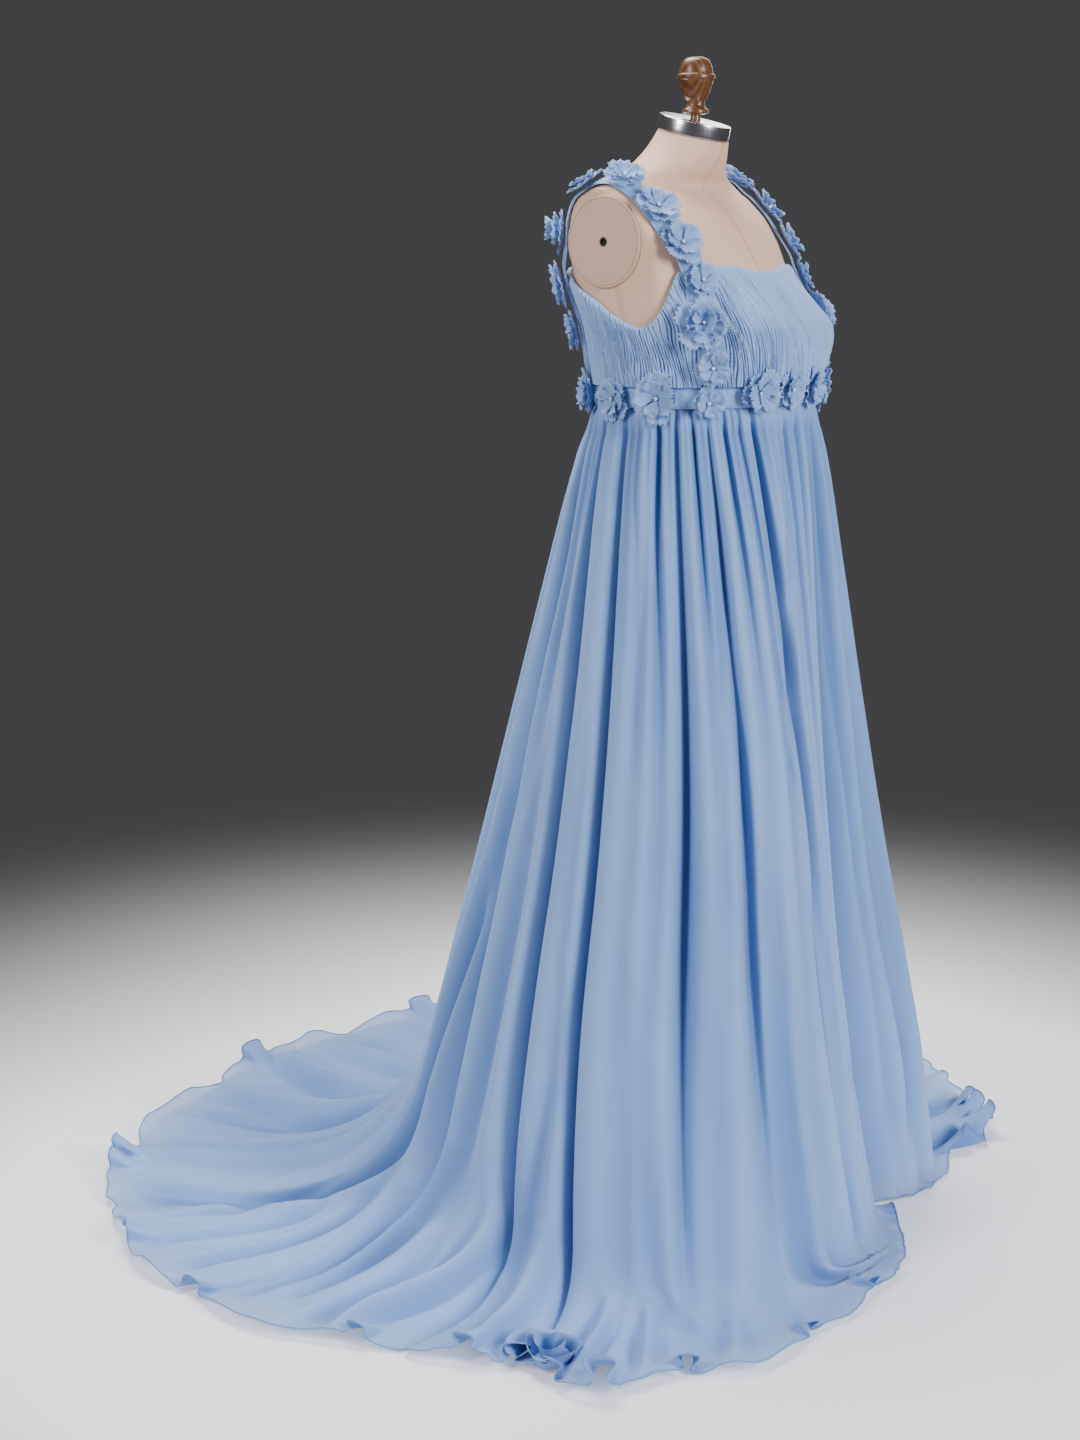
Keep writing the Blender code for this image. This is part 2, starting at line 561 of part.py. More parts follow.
def skirt_grid():
    """Outer points of the whole skirt, rows x columns x 3, from the waistband to the hem.

    A column falls along a straight flare to the floor, turns softly and runs out to the hem.
    Fold valleys push it in by depth * exp(-(distance / width)^2), the gathers add a small wave
    at the top, and on the floor the folds lift instead.
    """
    fold, share = fold_lines()
    following = (fold + 1) % len(FOLDS)
    lap = np.where(following == 0, 360.0, 0.0)

    def across(name):
        values = column(FOLDS, FOLD_COLUMNS, name)
        return values[fold], values[following]

    def angle_of(name):
        here, there = across(name)
        return here + (there + lap - here) * share

    top, mid, hem = (angle_of(name) for name in ("top", "mid", "hem"))
    fall = floor_value("fall", hem)
    reach = np.maximum(floor_value("hem", hem) - fall, REACH_LEAST)
    turn = np.minimum(floor_value("turn", hem), TURN_SHARE * reach)
    start = body_points(top, np.full_like(top, (BAND_LOW + BAND_HIGH) / 2),
                        BODICE_EASE + BAND_WALL)
    centre_y = section_value("mid", (BAND_LOW + BAND_HIGH) / 2)
    radius_top = np.hypot(start[:, 0], start[:, 1] - centre_y)
    height_top = SKIRT_TOP - band_drop(top)
    length = np.hypot(height_top, fall - radius_top)

    turn_end = turn * TURN_ROWS[-1]
    along = np.array([value * (length - turn) - length for value in FALL_ROWS]
                     + [turn * value for value in TURN_ROWS]
                     + [turn_end + (reach - turn_end) * value for value in HEM_ROWS])
    inside = np.abs(along) < turn
    back = np.where(inside, (turn - along) ** 2 / (4 * turn), np.maximum(-along, 0.0))
    ahead = np.where(inside, (turn + along) ** 2 / (4 * turn), np.maximum(along, 0.0))
    height = np.maximum(back * height_top / length, 0.0)
    down = np.clip(1.0 - height / height_top, 0.0, 1.0)
    radius = radius_top + (fall - radius_top) * flare(down) + ahead

    half = 1.0 - SKIRT_MID / SKIRT_TOP
    upper = np.clip(down / half, 0.0, 1.0)
    lower = np.clip((down - half) / (1.0 - half), 0.0, 1.0)
    angle = top + (mid - top) * (1.0 - (1.0 - upper) ** 2) + (hem - mid) * lower**2

    depth_here, depth_next = across("depth")
    foot_here, foot_next = across("foot")
    width_here, width_next = across("width")
    here, there = across("hem")
    grow = np.clip(upper / FOLD_FULL, 0.0, 1.0) ** FOLD_POWER
    foot = np.clip((down - FOOT_FROM) / (1.0 - FOOT_FROM), 0.0, 1.0)
    fold_width = np.radians(there + lap - here) * radius

    def notch(depth, low_depth, width, distance):
        deep = (depth * (1.0 - foot) + low_depth * foot) * grow
        wide = width * (FOLD_NARROW + (1.0 - FOLD_NARROW) * upper)
        return deep * np.exp(-((distance / wide) ** 2))

    valley = notch(depth_here, foot_here, width_here, share * fold_width)
    valley = valley + notch(depth_next, foot_next, width_next, (1.0 - share) * fold_width)
    wave = 0.5 - 0.5 * np.cos(2 * np.pi * across("gathers")[0] * share)
    spring = np.exp(-((down / GATHER_FADE) ** 2)) * np.clip(down / GATHER_FULL, GATHER_START, 1.0)
    small = (GATHER_DEPTH * spring + GATHER_LOW_DEPTH * (1.0 - spring)) * (1.0 - wave)
    facing = np.clip(np.cos(np.radians(angle - FULLER_ANGLE)), 0.0, 1.0)
    fuller = FULLER_OUT * facing * np.sin(np.pi * down**FULLER_POWER)
    flat = np.clip(ahead / reach, 0.0, 1.0)
    level = np.clip(height / LEVEL_HEIGHT, 0.0, 1.0)
    radius = radius - valley * (1.0 - FLAT_CALM * flat) - small * level + fuller
    crest = np.sin(np.pi * share) ** 2
    lift = HEM_LIFT * flat * (LIFT_CREST * crest + (1.0 - LIFT_CREST) * wave)
    lift = lift * np.clip(reach / LIFT_REACH, LIFT_LEAST, LIFT_MOST)
    turned = np.radians(angle)
    z = height + lift + CLOTH
    z[0] = height_top
    return np.stack([radius * np.sin(turned), centre_y * (1.0 - down) - radius * np.cos(turned), z],
                    axis=-1)


def skirt_walls():
    """The skirt's outer and inner grids; the inner one lies a cloth's thickness in."""
    outer = skirt_grid()
    normal = grid_normals(outer, wrap=True)
    normal[0, :, 2] = 0.0
    normal[0] /= np.linalg.norm(normal[0], axis=1, keepdims=True)
    inner = outer - CLOTH * normal
    inner[..., 2] = np.maximum(inner[..., 2], 0.0)
    inner[0, :, 2] = outer[0, :, 2]
    return outer, inner


def seam_shift(grid, columns):
    """Moves a piece's edge columns a share of the seam gap along the skirt, off the seam."""
    shifted = grid[:, columns].copy()
    for edge, way in ((0, 1), (-1, -1)):
        towards = shifted[:, edge + way] - shifted[:, edge]
        towards[:, 2] = 0.0
        towards /= np.linalg.norm(towards, axis=1, keepdims=True)
        shifted[:, edge] += towards * SEAM_GAP * SEAM_SHARE
    return shifted


def make_skirt():
    """Front and back of the skirt, parted in the valleys at the sides."""
    outer, inner = skirt_walls()
    fold, share = fold_lines()
    starts = [int(np.argmax((fold == index) & (share == 0.0))) for index in SKIRT_SEAMS]
    total = len(fold)
    front = np.arange(starts[0], starts[1] + 1)
    back = np.arange(starts[1], starts[0] + total + 1) % total
    for name, columns in (("skirt_front", front), ("skirt_back", back)):
        wall_object(name, seam_shift(outer, columns), seam_shift(inner, columns), "chiffon")


# ---- straps and flowers -----------------------------------------------------------------------


def smooth_path(points, count):
    """Points evenly spaced on a smooth curve through the given ones (Catmull-Rom)."""
    points = np.asarray(points)
    padded = np.vstack([2 * points[0] - points[1], points, 2 * points[-1] - points[-2]])
    fine = []
    for i in range(1, len(padded) - 2):
        p0, p1, p2, p3 = padded[i - 1:i + 3]
        t = np.linspace(0.0, 1.0, 12, endpoint=False)[:, None]
        fine.append(0.5 * (2 * p1 + (p2 - p0) * t + (2 * p0 - 5 * p1 + 4 * p2 - p3) * t**2
                           + (3 * p1 - p0 - 3 * p2 + p3) * t**3))
    fine = np.vstack(fine + [points[-1:]])
    along = np.concatenate([[0.0], np.cumsum(np.linalg.norm(np.diff(fine, axis=0), axis=1))])
    wanted = np.linspace(0.0, along[-1], count)
    return np.stack([np.interp(wanted, along, fine[:, k]) for k in range(3)], axis=-1)


def laid_on(tree, point):
    """The place `STRAP_CLEAR` above the surface next to a point, and the way out there."""
    near, normal, _, _ = tree.find_nearest(Vector(point))
    return np.array(near + normal * STRAP_CLEAR), np.array(normal)


def make_strap(name, side, tree):
    """A flat strap laid over the bodice, the shoulder and the back. Returns its middle line."""
    path = smooth_path(np.array(STRAP_PATH) * (side, 1, 1), STRAP_STATIONS)
    path = np.array([laid_on(tree, p)[0] for p in path])
    along = np.gradient(path, axis=0)
    along /= np.linalg.norm(along, axis=1, keepdims=True)
    out = np.array([laid_on(tree, p)[1] for p in path])
    for _ in range(2):
        out[1:-1] = (out[:-2] + 2 * out[1:-1] + out[2:]) / 4
    out -= along * np.sum(out * along, axis=1, keepdims=True)
    out /= np.linalg.norm(out, axis=1, keepdims=True)
    across = np.cross(along, out)
    inner = np.stack([[laid_on(tree, p + c * STRAP_WIDTH * place)[0] for p, c in zip(path, across)]
                      for place in STRAP_PLACES])
    outer = inner + out * STRAP_WALL
    wall_object(name, outer, inner, "band_fabric")
    return (outer[1] + outer[2]) / 2, along, out, across


def make_flower(name, place, out, up, radius, turn):
    """A sewn fabric flower at a place, facing `out`, with `up` as its upright.

    The petals are one scalloped cup: the rim's reach falls to FLOWER_NOTCH of the radius
    between two petals, and its tips rise above a small flat foot.
    """
    out = np.asarray(out) / np.linalg.norm(out)
    right = np.cross(up, out)
    right /= np.linalg.norm(right)
    upright = np.cross(out, right)
    around = PETALS * POINTS_PER_PETAL
    angle = np.arange(around) * 2 * np.pi / around
    petal = np.abs(np.sin(angle * PETALS / 2)) ** FLOWER_ROUND
    turned = angle + np.radians(turn)
    unit = np.stack([np.cos(turned), np.sin(turned)], axis=-1)
    reach = radius * (FLOWER_NOTCH + (1.0 - FLOWER_NOTCH) * petal)
    rise = FLOWER_BASE + radius * FLOWER_RISE * petal
    rim = np.column_stack([unit * reach[:, None], rise])
    under = rim - (0.0, 0.0, FLOWER_WALL)
    foot = np.column_stack([unit * radius * FLOWER_FOOT, np.zeros(around)])
    local = np.vstack([rim, under, foot, [(0.0, 0.0, FLOWER_HEART)]])
    points = place + local[:, :1] * right + local[:, 1:2] * upright + local[:, 2:] * out
    faces = [tuple(range(2 * around, 3 * around))[::-1]]
    for j in range(around):
        k = (j + 1) % around
        faces.append((3 * around, j, k))
        for ring in range(2):
            a, b = ring * around, (ring + 1) * around
            faces.append((a + j, b + j, b + k, a + k))
    return make_object(name, points, faces, "flower_fabric", crease=60.0)


def make_strap_flowers(name, middle, along, out, across, side):
    """The flowers sewn along one strap."""
    for index, (share, aside, radius, turn) in enumerate(STRAP_FLOWERS):
        place = share * (len(middle) - 1)
        low = int(place)
        mix = place - low
        point = middle[low] * (1 - mix) + middle[low + 1] * mix
        facing = out[low] * (1 - mix) + out[low + 1] * mix
        point = point + across[low] * aside + facing * FLOWER_GAP
        make_flower(f"{name}_{index + 1:02d}", point, facing, along[low], radius, turn * side)


def make_band_flowers():
    """The flowers sewn round the waistband, tilted half as much as the bodice above them."""
    for index, (angle, above, out, radius, turn) in enumerate(BAND_FLOWERS):
        where = np.array([angle - 0.5, angle, angle + 0.5])
        share = 0.5 + above / (BAND_HIGH - BAND_LOW)
        line = band_wall(where, share, BODICE_EASE + BAND_WALL + out)
        over = body_points(where[1], line[1][2] + radius, BODICE_EASE + BAND_WALL + out)
        upright = (over - line[1] + (0.0, 0.0, radius)) / 2
        facing = np.cross(line[2] - line[0], upright)
        make_flower(f"band_flower_{index + 1:02d}", line[1], facing, upright, radius, turn)


def build():
    """Makes the whole part."""
    clear_scene()
    make_torso()
    make_cap()
    make_finial()
    make_plate("form_arm_plate_left", 1)
    make_plate("form_arm_plate_right", -1)
    make_stand()
    for row in PANELS:
        make_panel(*row)
    make_band("waistband_front", -90.0, 90.0)
    make_band("waistband_back", 90.0, 270.0)
    make_skirt()
    tree = covered_tree()
    for name, side in (("right", -1), ("left", 1)):
        lines = make_strap(f"strap_{name}", side, tree)
        make_strap_flowers(f"strap_flower_{name}", *lines, side)
    make_band_flowers()


build()
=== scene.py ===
"""The looks of a maternity dress with a sweep train, on its limbless dress form.

Metres, +Z up, the front is -Y, and the origin is on the floor under the pole. Angles are in degrees
round the pole: 0 is the front, 90 the wearer's left (+X), 180 the back.
"""

from __future__ import annotations

import logging
from abc import ABC, abstractmethod
from dataclasses import dataclass, field
from enum import Enum

import bpy
import numpy as np
from mathutils import Matrix, Vector

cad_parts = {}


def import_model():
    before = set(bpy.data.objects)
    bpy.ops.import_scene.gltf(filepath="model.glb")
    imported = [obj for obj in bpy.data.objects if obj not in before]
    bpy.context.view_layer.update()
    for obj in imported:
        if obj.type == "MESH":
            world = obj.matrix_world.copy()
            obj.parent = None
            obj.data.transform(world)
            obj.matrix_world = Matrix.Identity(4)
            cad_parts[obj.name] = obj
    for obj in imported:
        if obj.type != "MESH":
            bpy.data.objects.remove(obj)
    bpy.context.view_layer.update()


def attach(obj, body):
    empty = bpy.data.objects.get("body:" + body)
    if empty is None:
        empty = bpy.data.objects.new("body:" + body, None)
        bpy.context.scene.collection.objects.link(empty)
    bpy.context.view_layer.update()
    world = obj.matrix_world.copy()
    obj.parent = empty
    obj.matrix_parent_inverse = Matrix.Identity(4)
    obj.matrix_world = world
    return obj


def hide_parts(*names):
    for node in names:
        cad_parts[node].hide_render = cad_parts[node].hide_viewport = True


LOG = logging.getLogger("dress")
ROOT = "root"
Array = np.ndarray
Colour = tuple[float, float, float]
Piece = bpy.types.Object
Masks = dict[str, Array] | None


class Side(Enum):
    """The wearer's sides, by the sign of their X."""

    RIGHT = -1
    LEFT = 1


# ---- shader graphs ---------------------------------------------------------------------------


class Wire:
    """A number socket in an expression: each operator on it adds one Math node."""

    def __init__(self, graph: Graph, socket: bpy.types.NodeSocket) -> None:
        """Keeps the graph and the socket."""
        self.graph = graph
        self.socket = socket

    def _math(self, operation: str, first: Wire | float, second: Wire | float = 0.0) -> Wire:
        """One Math node on two values."""
        return self.graph.add("ShaderNodeMath", {"operation": operation}, {0: first, 1: second})

    def __add__(self, other: Wire | float) -> Wire:
        """The sum."""
        return self._math("ADD", self, other)

    __radd__ = __add__

    def __sub__(self, other: Wire | float) -> Wire:
        """The difference."""
        return self._math("SUBTRACT", self, other)

    def __rsub__(self, other: float) -> Wire:
        """The difference, the other way round."""
        return self._math("SUBTRACT", other, self)

    def __mul__(self, other: Wire | float) -> Wire:
        """The product."""
        return self._math("MULTIPLY", self, other)

    __rmul__ = __mul__

    def clamped(self) -> Wire:
        """The value kept between 0 and 1."""
        return self.graph.add("ShaderNodeClamp", {}, {"Value": self, "Min": 0.0, "Max": 1.0})


class Graph:
    """The node tree of one material, with its Principled shader."""

    def __init__(self, name: str) -> None:
        """Makes the material.

        Args:
            name: the material's name.
        """
        self.material = bpy.data.materials.new(name)
        self.material.use_nodes = True
        self.tree = self.material.node_tree
        self.shader = self.tree.nodes["Principled BSDF"]

    def plug(self, socket: bpy.types.NodeSocket, value: object) -> None:
        """Links a wire to a socket, or sets the socket's own value.

        Args:
            socket: the input.
            value: a wire, a number, a vector or a colour.
        """
        if isinstance(value, Wire):
            self.tree.links.new(value.socket, socket)
        elif socket.type == "RGBA" and len(value) == 3:
            socket.default_value = (*value, 1.0)
        else:
            socket.default_value = value

    def add(
        self, kind: str, settings: dict[str, object], inputs: dict[object, object], output: object = 0
    ) -> Wire:
        """Adds a node.

        Args:
            kind: the node's type.
            settings: its own settings.
            inputs: values or wires by the sockets' names or numbers.
            output: the output that is wanted.

        Returns:
            The wire from that output.
        """
        node = self.tree.nodes.new(kind)
        for key, value in settings.items():
            setattr(node, key, value)
        for key, value in inputs.items():
            self.plug(node.inputs[key], value)
        return Wire(self, node.outputs[output])

    def set(self, **values: object) -> None:
        """Sets the shader's sockets; an underscore in a name stands for a space."""
        for key, value in values.items():
            self.plug(self.shader.inputs[key.replace("_", " ")], value)

    def place(self, stretch: tuple[float, float, float] = (1.0, 1.0, 1.0)) -> Wire:
        """Object coordinates, in metres, stretched along the axes."""
        spot = self.add("ShaderNodeTexCoord", {}, {}, "Object")
        return self.add("ShaderNodeMapping", {}, {"Vector": spot, "Scale": stretch})

    def noise(self, scale: float, detail: float = 2.0, where: Wire | None = None) -> Wire:
        """Noise of about 0 to 1; `scale` is in grains to the metre."""
        return self.add(
            "ShaderNodeTexNoise", {}, {"Vector": where or self.place(), "Scale": scale, "Detail": detail}
        )

    def mask(self, name: str) -> Wire:
        """The piece's own attribute of that name."""
        return self.add("ShaderNodeAttribute", {"attribute_name": name}, {}, "Fac")

    def mix(self, share: Wire | float, first: Wire | Colour, second: Wire | Colour) -> Wire:
        """The first colour, turned into the second by a share."""
        return self.add("ShaderNodeMix", {"data_type": "RGBA"}, {0: share, 6: first, 7: second}, 2)

    def bump(self, height: Wire, distance: float, strength: float, below: Wire | None = None) -> Wire:
        """A bump of a height field, over another bump.

        Args:
            height: the height field.
            distance: how far it rises, in metres.
            strength: the share of it that shows.
            below: the bump under it.

        Returns:
            The bumped normal.
        """
        inputs = {"Height": height, "Distance": distance, "Strength": strength}
        if below is not None:
            inputs["Normal"] = below
        return self.add("ShaderNodeBump", {}, inputs)


# ---- finishes --------------------------------------------------------------------------------


@dataclass(frozen=True)
class Finish(ABC):
    """A material by its name; each kind of finish sets the shader in its own way."""

    name: str

    @abstractmethod
    def shade(self, graph: Graph) -> None:
        """Sets the shader of a new material.

        Args:
            graph: the new material's graph.
        """

    def material(self) -> bpy.types.Material:
        """The material, made on first use.

        Returns:
            The material of this finish.
        """
        if self.name in bpy.data.materials:
            return bpy.data.materials[self.name]
        graph = Graph(self.name)
        self.shade(graph)
        return graph.material


@dataclass(frozen=True)
class ClothFinish(Finish):
    """A chiffon: two tones of blue in soft patches, painted shade in its folds, a crepe grain and faint
    drawn creases.
    """

    colour: Colour
    # deep: the darker tone of the random patches and of the painted shade in folds.
    deep: Colour
    pale: Colour
    roughness: float = 0.62
    sheen: float = 0.35
    sheen_roughness: float = 0.45
    sheen_tint: Colour = (0.86, 0.82, 1.0)
    grain: float = 1300.0
    grain_depth: float = 0.00025
    creases: float = 26.0
    crease_depth: float = 0.0030
    crease_stretch: float = 0.22
    clear: float = 0.0
    patch_scale: float = 7.0
    patch_share: float = 0.3
    # How far the painted shade in folds darkens the cloth.
    hollow_share: float = 0.9
    shade_from: float = 0.14
    sheer_share: float = 0.25
    spread: float = 0.12
    bump_share: float = 0.35

    def shade(self, graph: Graph) -> None:
        """The cloth: patches and painted shade in its folds darken it, sheer parts pale it, creases and
        grain bump it.

        Args:
            graph: the new material's graph.
        """
        patches = graph.noise(self.patch_scale, 3.0)
        # Painted shade: the piece's mask of its folds and creases darkens them towards the deep tone.
        hollow = graph.mask("hollow")
        shade = (patches * self.patch_share + hollow * self.hollow_share - self.shade_from).clamped()
        tone = graph.mix(shade, self.colour, self.deep)
        sheer = graph.mask("sheer")
        graph.set(
            Base_Color=graph.mix(sheer * self.sheer_share, tone, self.pale),
            Roughness=patches * self.spread + (self.roughness - self.spread / 2),
            Sheen_Weight=self.sheen,
            Sheen_Roughness=self.sheen_roughness,
            Sheen_Tint=self.sheen_tint,
            Specular_IOR_Level=0.35,
        )
        drawn = graph.noise(self.creases, 4.0, graph.place((1.0, 1.0, self.crease_stretch)))
        fine = graph.noise(self.grain, 1.0)
        soft = graph.bump(drawn, self.crease_depth, self.bump_share)
        graph.set(Normal=graph.bump(fine, self.grain_depth, self.bump_share, soft))
        if self.clear:
            graph.set(Alpha=1.0 - sheer * self.clear)


@dataclass(frozen=True)
class LinenFinish(Finish):
    """Papered linen: a fine weave, faint smudges and a worn, slightly waxed face."""

    colour: Colour = (0.80, 0.515, 0.375)
    stain: Colour = (0.47, 0.30, 0.22)
    # dark: the near black of the painted shade inside the arm plates' holes.
    dark: Colour = (0.015, 0.011, 0.009)
    threads: float = 1500.0

    def shade(self, graph: Graph) -> None:
        """The linen: smudges and seams stain it, painted shade blackens the plates' holes, the weave and
        specks bump it.

        Args:
            graph: the new material's graph.
        """
        spot = graph.place()
        across = graph.add(
            "ShaderNodeTexWave", {"bands_direction": "Z"},
            {"Vector": spot, "Scale": self.threads / 20.0, "Distortion": 1.5, "Detail Scale": 60.0},
        )
        cloud = graph.noise(9.0, 5.0)
        specks = graph.noise(160.0, 3.0)
        smudge = ((cloud * cloud) * (specks * 1.4) * 1.9 - 0.28).clamped()
        seam = graph.mask("seam")
        tone = graph.mix((smudge * 0.45 + seam * 0.6).clamped(), self.colour, self.stain)
        # Painted shade: the hole's mask paints it near black.
        graph.set(
            Base_Color=graph.mix(graph.mask("hole"), tone, self.dark),
            Roughness=cloud * 0.2 + 0.55,
            Sheen_Weight=0.08,
            Specular_IOR_Level=0.35,
            Normal=graph.bump(across * 0.5 + specks * 0.5, 0.0002, 0.25),
        )


@dataclass(frozen=True)
class MetalFinish(Finish):
    """A metal: polished or brushed, with fine rubbed marks."""

    colour: Colour
    roughness: float
    metallic: float = 1.0

    def shade(self, graph: Graph) -> None:
        """The metal: rubbed marks dull it and bump it.

        Args:
            graph: the new material's graph.
        """
        marks = graph.noise(220.0, 4.0, graph.place((1.0, 1.0, 0.08)))
        graph.set(
            Base_Color=graph.mix(marks * 0.25, self.colour, tuple(c * 0.6 for c in self.colour)),
            Roughness=marks * 0.12 + self.roughness,
            Metallic=self.metallic,
            Normal=graph.bump(marks, 0.0001, 0.1),
        )


@dataclass(frozen=True)
class WoodFinish(Finish):
    """Turned and waxed wood, its rings running up the piece."""

    colour: Colour = (0.19, 0.072, 0.021)
    dark: Colour = (0.055, 0.020, 0.007)

    def shade(self, graph: Graph) -> None:
        """The wood: its rings and pores darken it.

        Args:
            graph: the new material's graph.
        """
        grain = graph.add(
            "ShaderNodeTexWave", {"wave_type": "BANDS", "bands_direction": "X"},
            {"Vector": graph.place((1.0, 0.6, 0.12)), "Scale": 55.0, "Distortion": 7.0, "Detail": 3.0},
        )
        pores = graph.noise(700.0, 3.0, graph.place((1.0, 1.0, 0.1)))
        graph.set(
            Base_Color=graph.mix((grain * 0.6 + pores * 0.35).clamped(), self.colour, self.dark),
            Roughness=pores * 0.15 + 0.32,
            Coat_Weight=0.2,
            Coat_Roughness=0.12,
            Normal=graph.bump(pores, 0.0001, 0.12),
        )


@dataclass(frozen=True)
class PearlFinish(Finish):
    """Glass pearl: off-white, glossy, with a faint warm bloom."""

    def shade(self, graph: Graph) -> None:
        """The pearl: a faint change of tone under a coat.

        Args:
            graph: the new material's graph.
        """
        graph.set(
            Base_Color=graph.mix(graph.noise(300.0), (0.90, 0.88, 0.86), (0.80, 0.80, 0.86)),
            Roughness=0.18,
            Coat_Weight=0.6,
            Coat_Roughness=0.08,
        )


# Each cloth's second colour is the darker tone of its random patches and, where a piece has the mask, of
# its painted shade.
CHIFFON = ClothFinish("dress_chiffon", (0.245, 0.405, 0.745), (0.075, 0.185, 0.46), (0.36, 0.52, 0.76))
HEM_CHIFFON = ClothFinish("hem_chiffon", CHIFFON.colour, CHIFFON.deep, CHIFFON.pale, sheen=0.2, clear=0.17)
ROLLED_HEM = ClothFinish("rolled_hem", (0.13, 0.27, 0.52), (0.09, 0.20, 0.42), CHIFFON.pale)
RUCHED = ClothFinish(
    "bodice_chiffon", (0.32, 0.485, 0.82), (0.035, 0.11, 0.31), CHIFFON.pale,
    creases=60.0, crease_depth=0.0008,
)
BAND = ClothFinish("band_chiffon", (0.25, 0.42, 0.75), (0.12, 0.26, 0.55), CHIFFON.pale, creases=70.0)
PETAL = ClothFinish(
    "petal_chiffon", (0.27, 0.43, 0.75), (0.10, 0.23, 0.52), (0.44, 0.59, 0.84),
    roughness=0.5, sheen=0.3, creases=90.0, crease_depth=0.0008,
)
LINEN = LinenFinish("form_linen")
PLATE_LINEN = LinenFinish("plate_linen", (0.66, 0.43, 0.32))
CHROME = MetalFinish("cap_chrome", (0.86, 0.87, 0.89), 0.16)
STEEL = MetalFinish("pole_steel_finish", (0.55, 0.56, 0.58), 0.28)
IRON = MetalFinish("base_iron_finish", (0.045, 0.045, 0.05), 0.45, 0.0)
WOOD = WoodFinish("finial_wood")
PEARL = PearlFinish("pearl")


# ---- surfaces --------------------------------------------------------------------------------


def smooth(x: Array, places: Array, values: Array) -> Array:
    """A smooth curve through points that never overshoots them.

    Between two points it is the cubic with given slopes at both ends. A point's slope is the
    harmonic mean of the slopes of the lines on its two sides, or nothing where they turn.

    Args:
        x: where the curve is wanted.
        places: where the points are, rising.
        values: the curve's values there.

    Returns:
        The curve's values at x.
    """
    places, values = np.asarray(places, float), np.asarray(values, float)
    gap = np.diff(places)
    slope = np.diff(values) / gap
    product = slope[:-1] * slope[1:]
    total = np.where(product > 0, slope[:-1] + slope[1:], 1.0)
    bend = np.concatenate([slope[:1], np.where(product > 0, 2 * product / total, 0.0), slope[-1:]])
    left = np.clip(np.searchsorted(places, x, side="right") - 1, 0, len(gap) - 1)
    t = limited((x - places[left]) / gap[left])
    return (
        values[left] * (1 + 2 * t) * (1 - t) ** 2 + values[left + 1] * t**2 * (3 - 2 * t)
        + gap[left] * (bend[left] * t * (1 - t) ** 2 - bend[left + 1] * t**2 * (1 - t))
    )


def limited(x: Array) -> Array:
    """Values kept between 0 and 1."""
    return np.clip(x, 0.0, 1.0)


def bell(off: Array, width: Array | float) -> Array:
    """A bell curve: 1 in the middle, and 1/e at its width to either side."""
    return np.exp(-((off / width) ** 2))


def once_round(count: int) -> Array:
    """Evenly spaced angles once round, in radians."""
    return np.arange(count) * 2 * np.pi / count


def run_of(points: Array) -> float:
    """Length of the line through points."""
    return float(np.linalg.norm(np.diff(points, axis=0), axis=1).sum())


def wrapped(angle: Array) -> Array:
    """Angles brought between -180 and 180 degrees."""
    return (np.asarray(angle) + 180.0) % 360.0 - 180.0


def chance(number: Array, salt: float = 0.0) -> Array:
    """A fixed value of 0 to 1 for each number, with no pattern to the eye."""
    return np.abs(np.sin(np.asarray(number) * 12.9898 + salt * 78.233) * 43758.5453) % 1.0


def unit(vectors: Array) -> Array:
    """Vectors along the last axis, of length 1."""
    return vectors / np.maximum(np.linalg.norm(vectors, axis=-1, keepdims=True), 1e-12)


def grid_faces(rows: int, columns: int, wrap: bool = False, copies: int = 1) -> Array:
    """The four corners of each face of grids of points; rows run down, columns to the right.

    Args:
        rows: rows of points in a grid.
        columns: columns of points in a grid.
        wrap: whether the last column joins the first.
        copies: how many such grids follow each other.

    Returns:
        The faces, as numbers of points.
    """
    number = np.arange(rows * columns).reshape(rows, columns)
    if wrap:
        number = np.hstack([number, number[:, :1]])
    face = np.stack([number[:-1, :-1], number[1:, :-1], number[1:, 1:], number[:-1, 1:]], axis=-1)
    starts = np.arange(copies)[:, None, None] * rows * columns
    return (face.reshape(-1, 4)[None] + starts).reshape(-1, 4)


def normals(grid: Array) -> Array:
    """Outward unit normals of rings: the cross of the slope down and the slope round."""
    across = np.roll(grid, -1, axis=1) - np.roll(grid, 1, axis=1)
    return unit(np.cross(np.gradient(grid, axis=0), across))


def add_piece(
    name: str, points: Array, faces: list | Array, finish: Finish, masks: Masks = None,
    crease: float | None = None,
) -> Piece:
    """A piece from points and faces, smooth shaded, that rides on the part's one body.

    Args:
        name: the piece's name.
        points: its points, in any shape that ends in x, y, z.
        faces: its faces, as numbers of points.
        finish: what it is made of.
        masks: values of 0 to 1 for each point, for the finish to read.
        crease: edges sharper than this angle stay sharp, in degrees.

    Returns:
        The piece.
    """
    mesh = bpy.data.meshes.new(name)
    mesh.from_pydata(np.asarray(points).reshape(-1, 3), [], faces)
    for key, values in (masks or {}).items():
        mesh.attributes.new(key, "FLOAT", "POINT").data.foreach_set("value", np.ravel(values))
    mesh.materials.append(finish.material())
    mesh.shade_smooth()
    if crease is not None:
        mesh.set_sharp_from_angle(angle=np.radians(crease))
    piece = bpy.data.objects.new(name, mesh)
    bpy.context.scene.collection.objects.link(piece)
    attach(piece, ROOT)
    LOG.info("%s: %d faces", name, len(mesh.polygons))
    return piece


def add_sheet(name: str, grid: Array, finish: Finish, masks: Masks = None) -> Piece:
    """One thin layer of cloth from a grid of points."""
    return add_piece(name, grid, grid_faces(*grid.shape[:2]), finish, masks)


